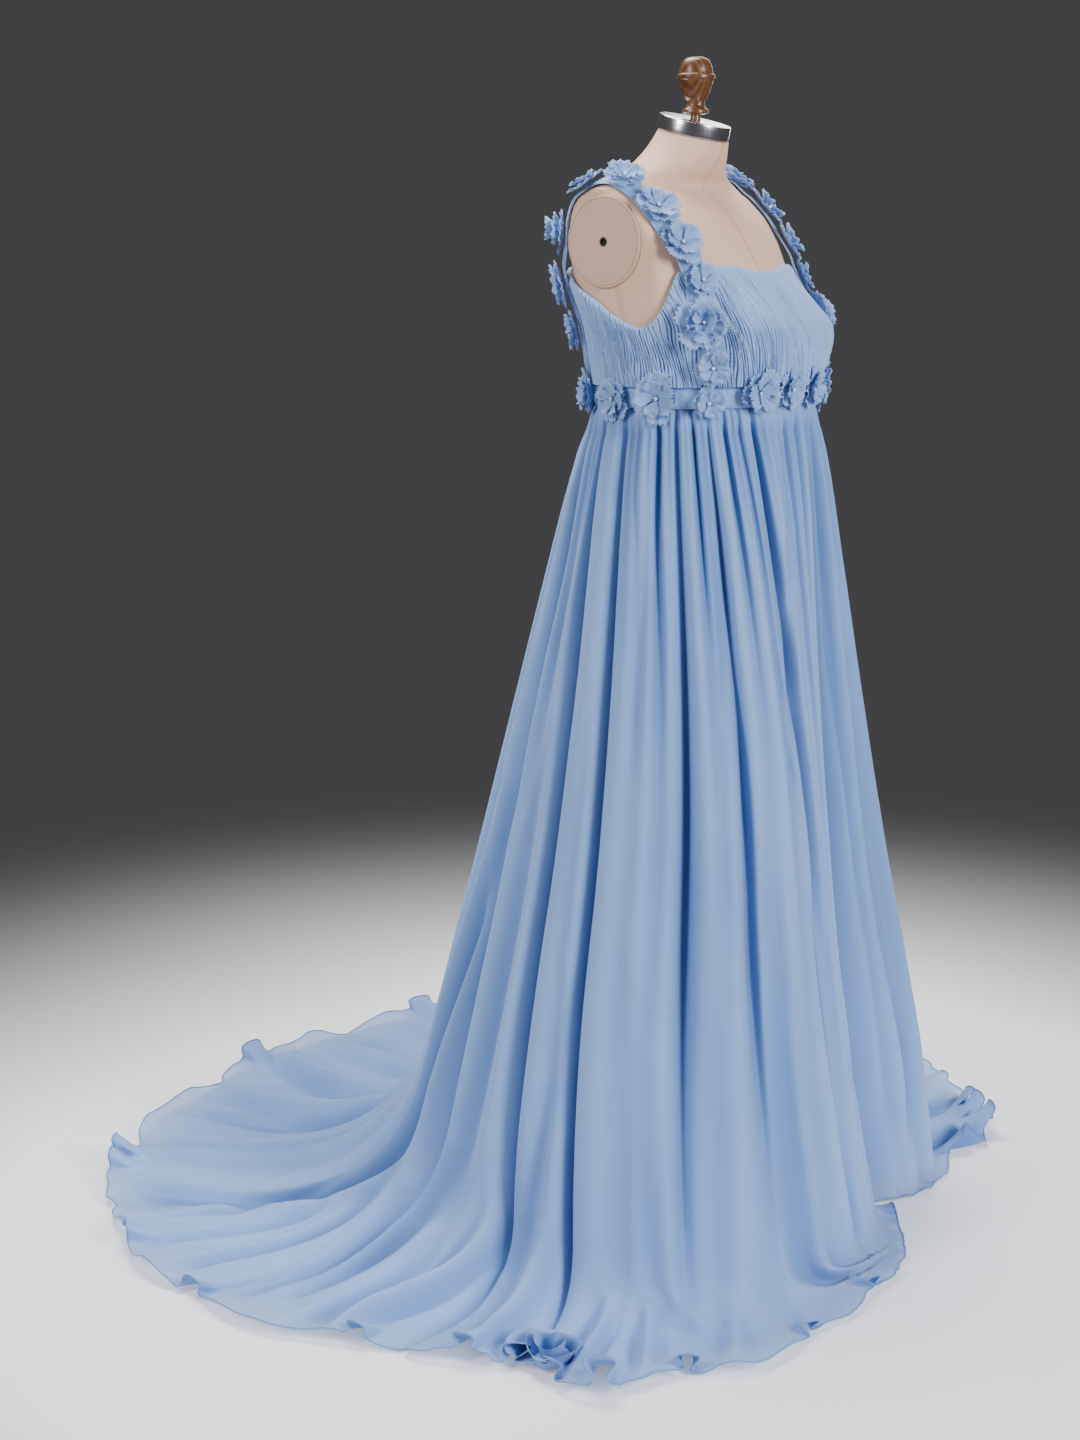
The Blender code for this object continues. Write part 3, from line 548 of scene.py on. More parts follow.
def add_shell(name: str, outer: Array, inner: Array, finish: Finish, masks: Masks = None) -> Piece:
    """A closed shell between an outer and an inner grid of the same size.

    The inner grid's faces are the outer one's turned round, and the four rims are closed by a
    strip of faces between the two.

    Args:
        name: the piece's name.
        outer: rows x columns x 3 points of the outer face.
        inner: the same for the inner face.
        finish: what it is made of.
        masks: values for each point of the outer face, repeated on the inner one.

    Returns:
        The piece.
    """
    rows, columns = outer.shape[:2]
    face = grid_faces(rows, columns)
    count = rows * columns
    number = np.arange(count).reshape(rows, columns)
    rim = np.concatenate([number[0, ::-1], number[1:, 0], number[-1, 1:], number[-2:0:-1, -1]])
    after = np.roll(rim, -1)
    edge = np.stack([after, rim, rim + count, after + count], axis=-1)
    faces = np.concatenate([face, face[:, ::-1] + count, edge])
    doubled = {key: np.tile(np.ravel(values), 2) for key, values in (masks or {}).items()}
    return add_piece(name, np.stack([outer, inner]), faces, finish, doubled, crease=60.0)


def add_loft(name: str, rings: Array, finish: Finish, masks: Masks = None, crease: float = 40.0) -> Piece:
    """A closed solid through rings from the lowest to the highest, with flat ends.

    Args:
        name: the piece's name.
        rings: levels x around x 3 points.
        finish: what it is made of.
        masks: values for each point.
        crease: edges sharper than this angle stay sharp, in degrees.

    Returns:
        The piece.
    """
    levels, around = rings.shape[:2]
    sides = grid_faces(levels, around, wrap=True)[:, ::-1].tolist()
    last = (levels - 1) * around
    ends = [list(range(around))[::-1], list(range(last, last + around))]
    return add_piece(name, rings, sides + ends, finish, masks, crease)


def turned_rings(radius: Array, height: Array, around: int) -> Array:
    """Rings round the pole's axis from a profile: x is radius * sin, y is -radius * cos.

    Args:
        radius: the profile's distances from the axis.
        height: its heights.
        around: points in a ring.

    Returns:
        levels x around x 3 points.
    """
    turn = once_round(around)
    x = np.outer(radius, np.sin(turn))
    y = np.outer(radius, -np.cos(turn))
    return np.stack([x, y, np.broadcast_to(np.asarray(height)[:, None], x.shape)], axis=-1)


# ---- the body that the form and the dress share ----------------------------------------------


@dataclass
class Body:
    """The torso's shape: level sections, the bust, and the lines where the dress is cut."""

    heights: tuple[float, ...] = (
        0.860, 0.900, 1.060, 1.147, 1.180, 1.225, 1.260, 1.295, 1.335, 1.365, 1.390, 1.402, 1.410,
        1.419, 1.431, 1.443, 1.455, 1.4735,
    )
    mid: tuple[float, ...] = (
        -0.004, -0.006, -0.012, -0.016, -0.012, -0.006, 0.002, 0.012, 0.022, 0.032, 0.040, 0.042, 0.040,
        0.034, 0.024, 0.016, 0.009, 0.0015,
    )
    half: tuple[float, ...] = (
        0.128, 0.140, 0.146, 0.155, 0.156, 0.162, 0.174, 0.187, 0.195, 0.190, 0.178, 0.166, 0.150,
        0.120, 0.092, 0.073, 0.060, 0.0465,
    )
    front: tuple[float, ...] = (
        0.098, 0.108, 0.120, 0.135, 0.140, 0.137, 0.125, 0.114, 0.101, 0.090, 0.073, 0.060, 0.052,
        0.050, 0.049, 0.048, 0.047, 0.0455,
    )
    back: tuple[float, ...] = (
        0.100, 0.110, 0.115, 0.124, 0.128, 0.131, 0.131, 0.126, 0.112, 0.096, 0.080, 0.062, 0.053,
        0.052, 0.051, 0.050, 0.049, 0.0465,
    )
    power: tuple[float, ...] = (
        2.2, 2.2, 2.2, 2.1, 2.1, 2.05, 2.0, 2.0, 2.1, 2.15, 2.1, 2.0, 2.0, 2.0, 2.0, 2.0, 2.0, 2.0,
    )
    lean: tuple[float, ...] = (0,) * 13 + (2, 5, 8, 11, 14)
    arm_face: float = 0.163
    bust_angle: float = 30.0
    bust_spread: float = 21.0
    bust_height: float = 1.228
    bust_rise: float = 0.052
    bust_out: float = 0.026
    form_share: float = 0.85
    band_low: float = 1.1340
    band_high: float = 1.1605
    band_drop: float = 0.004
    band_wall: float = 0.003
    ease: float = 0.0035
    cloth: float = 0.0022
    pleat_out: float = 0.0022
    seam: float = 0.0003
    edge_angles: tuple[float, ...] = (0, 17, 34, 51, 62, 66, 70, 74, 78, 84, 94, 103, 113, 123, 135, 180)
    edge_heights: tuple[float, ...] = (
        1.2990, 1.3040, 1.3090, 1.3080, 1.3020, 1.2850, 1.2660, 1.2510, 1.2400, 1.2330, 1.2440, 1.2650,
        1.2840, 1.2980, 1.3050, 1.3080,
    )

    def value(self, name: str, z: Array) -> Array:
        """A measure of the level sections at heights."""
        return smooth(z, self.heights, getattr(self, name))

    def points(self, angle: Array, z: Array, out: Array | float = 0.0, form: bool = False) -> Array:
        """Points of the body at angles and heights, moved out level.

        A section is a superellipse, |sin/half|^n + |cos/depth|^n = 1/r^n, with its own depth in
        front and behind. Two round bumps are the bust, and the arm faces cut the sides flat.

        Args:
            angle: angles round the body.
            z: heights.
            out: how far the points lie out of the body.
            form: whether the bust is the form's own, which is smaller.

        Returns:
            The points.
        """
        turn = np.radians(angle)
        side, ahead = np.sin(turn), np.cos(turn)
        power = self.value("power", z)
        depth = np.where(ahead > 0, self.value("front", z), self.value("back", z))
        radius = (
            (np.abs(side) / self.value("half", z)) ** power + (np.abs(ahead) / depth) ** power
        ) ** (-1.0 / power)
        bumps = sum(
            bell(wrapped(angle) - half.value * self.bust_angle, self.bust_spread) for half in Side
        )
        share = self.form_share if form else 1.0
        rise = bell(z - self.bust_height, self.bust_rise)
        radius = radius + self.bust_out * share * bumps * rise + out
        x = np.clip(radius * side, -self.arm_face - out, self.arm_face + out)
        return np.stack([x, self.value("mid", z) - radius * ahead, z + 0.0 * x], axis=-1)

    def leaned(self, points: Array, z: Array) -> Array:
        """Level rings turned forward about their middles by the neck's lean.

        Args:
            points: the rings' points.
            z: the points' heights.

        Returns:
            The turned points.
        """
        lean, middle = np.radians(self.value("lean", z)), self.value("mid", z)
        reach = points[..., 1] - middle
        return np.stack(
            [points[..., 0], middle + reach * np.cos(lean), z + reach * np.sin(lean)], axis=-1
        )

    def top_edge(self, angle: Array) -> Array:
        """Height of the bodice's top edge at angles, the same on both sides."""
        return smooth(np.abs(wrapped(angle)), self.edge_angles, self.edge_heights)

    def drop(self, angle: Array) -> Array:
        """How much lower the waistband lies than in front: it sinks towards the back."""
        return self.band_drop * 0.5 * (1.0 - np.cos(np.radians(angle)))

    def band(self, angle: Array, height: Array | float, out: Array | float) -> Array:
        """Points of the waistband: the body's section at its middle, carried up and down.

        Args:
            angle: angles round the body.
            height: shares of the waistband's height.
            out: how far the points lie out of the body.

        Returns:
            The points.
        """
        level = np.full_like(angle, (self.band_low + self.band_high) / 2)
        points = self.points(angle, level, out)
        points[..., 2] = self.band_low + height * (self.band_high - self.band_low) - self.drop(angle)
        return points


class Covered:
    """The body with the bodice on it, sampled finely, for laying straps."""

    around: int = 300
    levels: int = 110
    above: float = 0.012
    blend: float = 0.030

    def __init__(self, body: Body) -> None:
        """Samples the surface.

        The bodice's thickness fades to nothing over `blend`, `above` its top edge.

        Args:
            body: the shared shape.
        """
        angle = np.arange(self.around) * 360.0 / self.around
        height = np.linspace(body.band_high, body.heights[-1], self.levels)[::-1]
        angle, height = np.meshgrid(angle, height)
        past = limited((height - body.top_edge(angle) - self.above) / self.blend)
        out = (body.ease + body.cloth + body.pleat_out) * (1.0 - past)
        grid = body.leaned(body.points(angle, height, out), height)
        self.spots = grid.reshape(-1, 3)
        self.out = normals(grid).reshape(-1, 3)

    def lay(self, points: Array, clear: float) -> tuple[Array, Array]:
        """Points moved onto the surface: onto the flat patch of the nearest sample.

        Args:
            points: the points, in any shape.
            clear: how far above the surface they come.

        Returns:
            The moved points and the ways out there.
        """
        flat = points.reshape(-1, 3)
        far = (
            (flat**2).sum(1)[:, None] - 2 * flat @ self.spots.T + (self.spots**2).sum(1)[None]
        )
        near = np.argmin(far, axis=1)
        spot, out = self.spots[near], self.out[near]
        off = np.sum((flat - spot) * out, axis=1, keepdims=True)
        return (flat - out * (off - clear)).reshape(points.shape), out.reshape(points.shape)


# ---- dress form ------------------------------------------------------------------------------


@dataclass
class DressForm:
    """The linen torso with its arm plates, neck cap, finial and stand."""

    body: Body
    around: int = 144
    levels: int = 150
    cap_lean: float = 14.0
    cap_radius: float = 0.0475
    cap_height: float = 0.018
    cap_soft: float = 0.0012
    cap_centre: tuple[float, float] = (0.0, 1.4925)
    plate_middle: tuple[float, float] = (0.034, 1.3385)
    plate_half: tuple[float, float] = (0.0535, 0.0575)
    plate_thick: float = 0.004
    plate_soft: float = 0.0016
    hole: float = 0.0038
    hole_deep: float = 0.003
    finial: tuple[tuple[float, float], ...] = (
        (1.4990, 0.0068), (1.4995, 0.0130), (1.5003, 0.0158), (1.5020, 0.0169), (1.5045, 0.0166),
        (1.5062, 0.0150), (1.5075, 0.0135), (1.5110, 0.0118), (1.5160, 0.0122), (1.5200, 0.0148),
        (1.5300, 0.0190), (1.5400, 0.0222), (1.5420, 0.0226), (1.5430, 0.0240), (1.5445, 0.0248),
        (1.5475, 0.0249), (1.5490, 0.0243), (1.5500, 0.0226), (1.5520, 0.0220), (1.5580, 0.0208),
        (1.5650, 0.0180), (1.5695, 0.0130), (1.5712, 0.0070), (1.5715, 0.0010),
    )
    seam_width: float = 0.0011
    side_seam: float = 92.0
    side_radius: float = 0.17
    fine_around: int = 96
    groove: float = 0.0007

    def build(self) -> None:
        """Makes and dresses every piece of the form."""
        self._torso()
        self._cap()
        self._finial()
        for side in Side:
            self._plate(side)
        for node, finish in (("form_pole", STEEL), ("form_base", IRON)):
            for slot in bpy.data.objects[node].material_slots:
                slot.link = "OBJECT"
                slot.material = finish.material()

    def _torso(self) -> None:
        """The torso: level rings of the body, turned forward at the neck, with seam marks."""
        angle = np.arange(self.around) * 360.0 / self.around
        height = np.linspace(self.body.heights[0], self.body.heights[-1], self.levels)
        angle, height = np.meshgrid(angle, height)
        rings = self.body.points(angle, height, form=True)
        off_middle = np.abs(rings[..., 0])
        seam = bell(off_middle, 2 * self.seam_width)
        beside = np.radians(np.abs(wrapped(angle)) - self.side_seam) * self.side_radius
        seam = seam + bell(beside, 2 * self.seam_width)
        piece = add_loft("torso", self.body.leaned(rings, height), LINEN, {"seam": seam})
        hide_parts("form_torso")

    def _cap(self) -> None:
        """The neck cap: a profile of rings along an axis that leans forward."""
        middle_y, middle_z = self.cap_centre
        lean = np.radians(self.cap_lean)
        ease = np.linspace(0.0, np.pi / 2, 5)
        rim = self.cap_radius - self.cap_soft * (1 - np.sin(ease))
        rounding = self.cap_soft * (1 - np.cos(ease))
        radius = np.concatenate([rim, [self.cap_radius] * 2, rim[::-1]])
        depth = np.concatenate(
            [self.cap_height - rounding, self.cap_height * np.array([0.6, 0.4]), rounding[::-1]]
        )
        turn = once_round(self.fine_around)
        reach = np.outer(radius, -np.cos(turn))
        rings = np.stack(
            [np.outer(radius, np.sin(turn)),
             middle_y + reach * np.cos(lean) + depth[:, None] * np.sin(lean),
             middle_z + reach * np.sin(lean) - depth[:, None] * np.cos(lean)], axis=-1,
        )
        piece = add_loft("neck_cap", rings, CHROME, crease=50.0)
        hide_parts("form_neck_cap")

    def _finial(self) -> None:
        """The turned finial: a smooth curve of radius against height, spun round the axis."""
        profile = np.array(self.finial)
        height = np.unique(np.concatenate([profile[:, 0], np.linspace(profile[0, 0], profile[-1, 0], 90)]))
        rings = turned_rings(smooth(height, profile[:, 0], profile[:, 1]), height, 56)
        slope = np.tan(np.radians(self.cap_lean))
        foot = rings[0].copy()
        foot[:, 2] = self.cap_centre[1] + (foot[:, 1] - self.cap_centre[0]) * slope + self.body.seam
        piece = add_loft("finial", np.concatenate([foot[None], rings]), WOOD, crease=60.0)
        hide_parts("form_finial")

    def _plate(self, side: Side) -> None:
        """An oval arm plate with a soft rim, a groove inside it and a small hole.

        Its profile is shares of the oval's half widths against heights above the arm's face.

        Args:
            side: the arm that it covers.
        """
        middle_y, middle_z = self.plate_middle
        wide, tall = self.plate_half
        top, soft = self.plate_thick, self.plate_soft
        hole, sunk = self.hole / wide, top - self.groove
        profile = (
            (1.0, 0.0), (1.0, top - soft), (0.993, top - soft * 0.4), (0.978, top), (0.955, top),
            (0.948, sunk), (0.936, sunk), (0.928, top), (0.5, top + 0.0002), (0.12, top),
            (0.088, top), (hole, top - 0.0004), (hole, top - self.hole_deep),
        )
        share, out = np.array(profile).T
        turn = once_round(self.fine_around) * side.value
        y = middle_y + np.outer(share * wide, np.cos(turn))
        z = middle_z + np.outer(share * tall, np.sin(turn))
        x = side.value * (self.body.arm_face + self.body.seam + out)[:, None] + 0.0 * y
        rim = bell(share - 1.0, 0.012) + bell(share - 0.942, 0.008) * 0.7
        # The hole's mask paints shade into the hole; the rim and groove are stained as seams.
        masks = {"seam": rim[:, None] + 0.0 * y, "hole": (share < 0.09)[:, None] + 0.0 * y}
        piece = add_loft(
            f"arm_plate_{side.name.lower()}", np.stack([x, y, z], axis=-1), PLATE_LINEN, masks
        )
        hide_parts(f"form_arm_plate_{side.name.lower()}")


# ---- bodice and waistband --------------------------------------------------------------------


@dataclass
class Bodice:
    """Four ruched panels over the body, each a thin shell in fine upright pleats."""

    body: Body
    panels: tuple[tuple[str, float, float, int], ...] = (
        ("front", -54.0, 54.0, 46), ("side_left", 54.0, 129.0, 30), ("back", 129.0, 231.0, 38),
        ("side_right", 231.0, 306.0, 30),
    )
    steps: int = 9
    rows: int = 40
    gap: float = 0.06
    skin: float = 0.0012
    relief: float = 0.0066
    fan: float = 13.0
    fan_reach: float = 50.0
    fan_power: float = 1.7
    wobble: float = 0.34
    waver: float = 0.07
    crease: float = 0.13
    crease_depth: float = 0.72
    crown: float = 0.45
    minor: float = 0.22
    minor_width: float = 0.07
    edge_soft: float = 22.0
    fullness: float = 1.25

    def build(self) -> None:
        """Makes every panel."""
        for name, first, last, pleats in self.panels:
            self._panel(name, first, last, pleats)

    def _relief(self, angle: Array, rise: Array, pitch: float) -> Array:
        """Height of the pleats, 0 to 1.

        Pleats are numbered by angle / pitch. Near the neckline they fan out towards the straps,
        and each wavers a little. Between two of them lies a narrow crease, deep over a stretch of
        its own and faint elsewhere, and a pleat is crowned between its creases.

        Args:
            angle: angles round the body.
            rise: shares of the panel's height, 0 at the waistband.
            pitch: the angle from pleat to pleat.

        Returns:
            The heights.
        """
        spread = np.sin(np.pi / 2 * np.clip(wrapped(angle) / self.fan_reach, -1.0, 1.0))
        ahead = limited(1.3 - np.abs(wrapped(angle)) / 80.0)
        number = (angle - self.fan * spread * ahead * rise**self.fan_power) / pitch
        number = number + self.wobble * np.sin(7.0 * rise + 0.9 * number) * np.sin(0.37 * number + 2.0)
        number = number + self.waver * np.sin(17.0 * rise + 2.3 * number)
        nearest = np.round(number)
        off = number - nearest
        start, end = 0.45 * chance(nearest), 1.0 - 0.5 * chance(nearest, 1.0)
        begun = limited((rise - start + 0.08) / 0.14)
        inside = begun * limited((end + 0.1 - rise) / 0.16)
        strength = 0.40 + 0.60 * inside * (0.55 + 0.45 * chance(nearest, 2.0))
        crown = 1.0 - self.crown * np.abs(2 * off) ** 2.2
        between = np.abs(np.abs(off) - 0.5)
        minor = self.minor * chance(np.floor(number), 3.0) * bell(between, self.minor_width)
        return limited(crown - strength * self.crease_depth * bell(off, self.crease) - minor)

    def _panel(self, name: str, first: float, last: float, pleats: int) -> None:
        """A panel between two seams: the body's surface raised by the pleats.

        Args:
            name: the panel.
            first: the angle of its first seam.
            last: the angle of its last seam.
            pleats: how many pleats it has.
        """
        body, pitch = self.body, (last - first) / pleats
        columns = pleats * self.steps + 1
        angle = np.linspace(first + self.gap, last - self.gap, columns)
        rise = np.linspace(1.0, 0.0, self.rows)[:, None]
        low = body.band_high + body.seam - body.drop(angle)
        top = body.top_edge(angle)
        angles = np.broadcast_to(angle, (self.rows, columns))
        heights = low + rise * (top - low)
        relief = self._relief(angles, rise + 0.0 * angles, pitch)
        seam = np.minimum(angle - first, last - angle) / pitch
        relief = relief * limited(0.3 + seam)
        hem = limited((1.0 - rise) * self.edge_soft) ** 0.5
        raised = self.relief * relief * (0.4 + 0.6 * hem)
        inner = body.points(angles, heights, body.ease)
        outer = body.points(angles, heights, body.ease + self.skin + raised)
        # Painted shade in the creases between the pleats, where the relief is low.
        masks = {"hollow": limited(1.5 - 1.75 * relief)}
        piece = add_shell(f"bodice_{name}_ruched", outer, inner, RUCHED, masks)
        node = f"bodice_{name}"
        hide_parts(node)
        width = run_of(inner[self.rows // 2]) * self.fullness
        height = float((top - low).max())
        round(width * float((top - low).mean()), 4)


@dataclass
class Waistband:
    """The flat waistband, front and back, with turned edges and faint puckers."""

    body: Body
    halves: tuple[tuple[str, float, float], ...] = (("front", -90.0, 90.0), ("back", 90.0, 270.0))
    columns: int = 260
    rows: int = 13
    gap: float = 0.06
    skin: float = 0.0016
    dome: float = 0.0013
    pucker: float = 0.0005
    stitch: float = 0.0004

    def build(self) -> dict[str, Piece]:
        """Makes both halves.

        Returns:
            The halves by name.
        """
        made = {}
        for name, first, last in self.halves:
            angle = np.linspace(first + self.gap, last - self.gap, self.columns)
            angle = np.broadcast_to(angle, (self.rows, self.columns))
            share = np.linspace(1.0, 0.0, self.rows)[:, None] + 0.0 * angle
            edge = (1.0 - np.abs(2 * share - 1.0) ** 7) ** 0.5
            pull = np.sin(angle * 1.9) * np.sin(angle * 0.43 + 1.0) * np.cos(np.pi * share) ** 2
            stitch = bell(np.abs(share - 0.5) - 0.40, 0.03)
            out = self.body.ease + self.skin + self.dome * edge + self.pucker * pull - self.stitch * stitch
            outer = self.body.band(angle, share, out)
            inner = self.body.band(angle, share, self.body.ease)
            # Painted shade along the stitch grooves.
            piece = add_shell(f"band_{name}", outer, inner, BAND, {"hollow": stitch * 0.6})
            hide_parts(f"waistband_{name}")
            made[name] = piece
        return made


# ---- skirt -----------------------------------------------------------------------------------


@dataclass
class Rosette:
    """The rolled bunch where the hem's cloth lies on itself: a spiral sheet, flared upwards."""

    angle: float = -76.8
    reach: float = 0.530
    heart: float = 0.006
    grow: float = 0.027
    turns: float = 2.6
    tall: float = 0.037
    fall: float = 0.45
    wave: float = 0.0030
    flare: float = 0.011
    uneven: float = 0.0040
    lean: float = 0.18
    foot: float = 0.006
    columns: int = 150
    rows: int = 9

    def build(self) -> Piece:
        """Makes the sheet.

        The spiral's radius grows with its turn from the heart to the outer roll, with a slow wave
        on it, and its height falls from the heart outwards with an uneven upper edge.

        Returns:
            The piece.
        """
        turn = np.linspace(0.0, 2 * np.pi * self.turns, self.columns)
        share = turn / turn[-1]
        up = np.linspace(0.0, 1.0, self.rows)[:, None]
        radius = self.heart + self.grow * share + self.wave * np.sin(2.4 * turn + 0.6) * share
        flare = self.flare * up**2 * (0.4 + share) * (1.0 + 0.35 * np.sin(1.7 * turn))
        ragged = self.uneven * np.sin(2.1 * turn + 1.0)
        height = up * (self.tall - self.fall * self.tall * share + ragged)
        along, out = (radius + flare) * np.cos(turn), (radius + flare) * np.sin(turn)
        bearing = np.radians(self.angle)
        side, ahead = np.sin(bearing), np.cos(bearing)
        spot = np.array([self.reach * side, -self.reach * ahead, self.foot])
        grid = (
            spot + along[..., None] * (ahead, side, 0.0)
            - out[..., None] * (side, -ahead, 0.0)
            + height[..., None] * (self.lean * side, -self.lean * ahead, 1.0)
        )
        # Painted shade, darkest at the foot of the roll.
        masks = {"hollow": (1.0 - up) * 0.6 + 0.0 * height}
        return add_sheet("hem_rosette", grid, HEM_CHIFFON, masks)


@dataclass
class Skirt:
    """The gathered skirt with its sweep train: a body of lined chiffon and a sheer hem border.

    A column of the cloth falls along a straight flare, turns softly on the floor and runs out to
    the hem. Fold valleys push it in, and wherever the cloth lies on the floor the folds lift it.
    """

    body: Body
    mid_height: float = 0.50
    flare_spring: float = 0.06
    flare_soon: float = 0.04
    flare_power: float = 1.12
    reach_least: float = 0.004
    turn_share: float = 0.9
    gather_depth: float = 0.0135
    gather_low: float = 0.0032
    gather_start: float = 0.45
    gather_full: float = 0.03
    # The gathers in one pitch: where in it, how deep and how long against the first one.
    gather_steps: tuple[tuple[float, float, float], ...] = (
        (0.0, 1.0, 1.0), (0.5, 0.6, 0.55), (0.27, 0.35, 0.3), (0.76, 0.35, 0.3),
    )
    fold_full: float = 0.8
    fold_power: float = 0.7
    fold_narrow: float = 0.35
    foot_from: float = 0.6
    flat_calm: float = 0.6
    level_height: float = 0.12
    lift_crest: float = 0.55
    lift_reach: float = 0.08
    lift_least: float = 0.3
    lift_most: float = 1.6
    fuller_power: float = 0.6
    hem_lift: float = 0.014
    lean_slide: float = 0.011
    fuller_angle: float = 205.0
    fuller_out: float = 0.005
    seams: tuple[int, int] = (1, 9)
    border: float = 0.088
    steps: int = 23
    rows: int = 190
    border_steps: int = 44
    border_rows: int = 24
    ruffle: float = 0.010
    ruffle_depth: float = 0.058
    ruffle_pitch: float = 0.055
    ruffle_least: float = 0.25
    ruffle_swing: float = 0.55
    front_calm: tuple[float, float] = (30.0, 40.0)
    lowest: float = 0.0012
    bank: float = 0.35
    bank_away: float = 1.7
    bank_width: float = 0.8
    # Depths at which the painted shade of a fold, a gather and a crease is as dark as it gets.
    dark_fold: float = 0.042
    dark_gather: float = 0.017
    dark_crease: float = 0.022
    fall_length: float = 0.90
    roll: float = 0.0011
    roll_around: int = 7
    roll_lowest: float = 0.0003
    tuck: tuple[float, ...] = (-0.010, -0.005)
    under: float = 0.0007
    # One row per main fold: the valley's angle at the waistband, at mid-height and at the hem; the
    # gathers up to the next valley; depth and width at mid-height; depth at the floor; and which
    # wall leans over the valley, the one behind it (+) or before it (-).
    folds: tuple[tuple[float, ...], ...] = (
        (-112, -101, -94, 1, 0.050, 0.018, 0.040, 0.9),
        (-97, -86, -80, 3, 0.036, 0.013, 0.042, 0.8),
        (-72, -61, -58, 2, 0.040, 0.024, 0.008, -0.3),
        (-58, -42, -38, 3, 0.031, 0.026, 0.007, 0.5),
        (-36, -15, -6, 4, 0.015, 0.016, 0.010, -0.4),
        (13, 8, 27, 2, 0.036, 0.019, 0.013, -0.4),
        (34, 26, 42, 2, 0.028, 0.026, 0.018, 0.4),
        (50, 43, 56, 2, 0.034, 0.028, 0.034, -0.5),
        (68, 64, 72, 2, 0.030, 0.024, 0.026, 0.7),
        (87, 85, 90, 2, 0.040, 0.026, 0.030, -0.3),
        (106, 105, 108, 2, 0.030, 0.026, 0.024, 0.6),
        (125, 125, 126, 2, 0.042, 0.032, 0.026, -0.7),
        (144, 144, 143, 2, 0.030, 0.025, 0.022, 0.4),
        (163, 163, 162, 2, 0.038, 0.030, 0.024, 0.8),
        (182, 183, 182, 2, 0.030, 0.024, 0.022, -0.5),
        (200, 202, 201, 2, 0.040, 0.028, 0.024, 0.5),
        (217, 220, 217, 2, 0.034, 0.022, 0.032, -0.6),
        (233, 240, 240, 2, 0.034, 0.024, 0.022, 0.6),
    )
    # Round the floor: the angle, where the fall meets the floor, how softly, and where the hem is.
    floor: tuple[tuple[float, ...], ...] = (
        (-180, 0.440, 0.26, 0.850), (-168, 0.436, 0.26, 0.845), (-151, 0.428, 0.25, 0.832),
        (-142, 0.424, 0.24, 0.805), (-132, 0.420, 0.22, 0.780), (-121, 0.415, 0.20, 0.735),
        (-109, 0.410, 0.17, 0.690), (-98, 0.408, 0.13, 0.615), (-86, 0.405, 0.10, 0.585),
        (-79, 0.405, 0.09, 0.555), (-71, 0.405, 0.09, 0.607), (-58, 0.400, 0.08, 0.528),
        (-50, 0.395, 0.07, 0.526), (-45, 0.388, 0.07, 0.498), (-38, 0.375, 0.06, 0.448),
        (-27, 0.345, 0.05, 0.416), (-18, 0.322, 0.04, 0.384), (-8, 0.308, 0.04, 0.368),
        (0, 0.302, 0.035, 0.350), (9, 0.292, 0.03, 0.325), (20, 0.276, 0.02, 0.302),
        (23, 0.268, 0.02, 0.285), (26, 0.244, 0.015, 0.254), (29, 0.256, 0.015, 0.266),
        (32, 0.302, 0.02, 0.316), (38, 0.346, 0.02, 0.362), (45, 0.382, 0.02, 0.398),
        (53, 0.395, 0.04, 0.438), (58, 0.400, 0.06, 0.530), (66, 0.405, 0.08, 0.568),
        (72, 0.408, 0.10, 0.600), (80, 0.410, 0.11, 0.640), (98, 0.412, 0.16, 0.710),
        (115, 0.418, 0.21, 0.780), (132, 0.424, 0.24, 0.845), (150, 0.432, 0.26, 0.880),
        (165, 0.438, 0.26, 0.868), (180, 0.440, 0.26, 0.850),
    )
    # Gathers under the waistband, in order round the skirt: how deep and how far down they run.
    gathers: tuple[tuple[float, float], ...] = (
        (1.3, 0.30), (1.0, 0.42), (0.8, 0.16), (1.5, 0.50), (0.9, 0.12), (1.4, 0.36), (0.7, 0.20),
        (1.3, 0.26), (1.0, 0.62), (1.5, 0.22), (0.6, 0.10), (1.1, 0.48), (1.3, 0.30), (0.8, 0.16),
        (1.5, 0.72), (1.0, 0.22), (0.7, 0.12), (1.2, 0.36), (1.4, 0.28), (0.8, 0.55), (1.1, 0.18),
        (1.5, 0.34), (0.7, 0.14), (1.2, 0.46), (0.9, 0.24), (1.4, 0.64), (0.8, 0.16), (1.2, 0.30),
        (1.0, 0.52), (1.5, 0.20), (0.7, 0.38), (1.3, 0.26), (0.9, 0.14), (1.4, 0.58), (0.8, 0.22),
        (1.2, 0.34), (1.0, 0.18), (1.4, 0.44), (0.9, 0.24),
    )
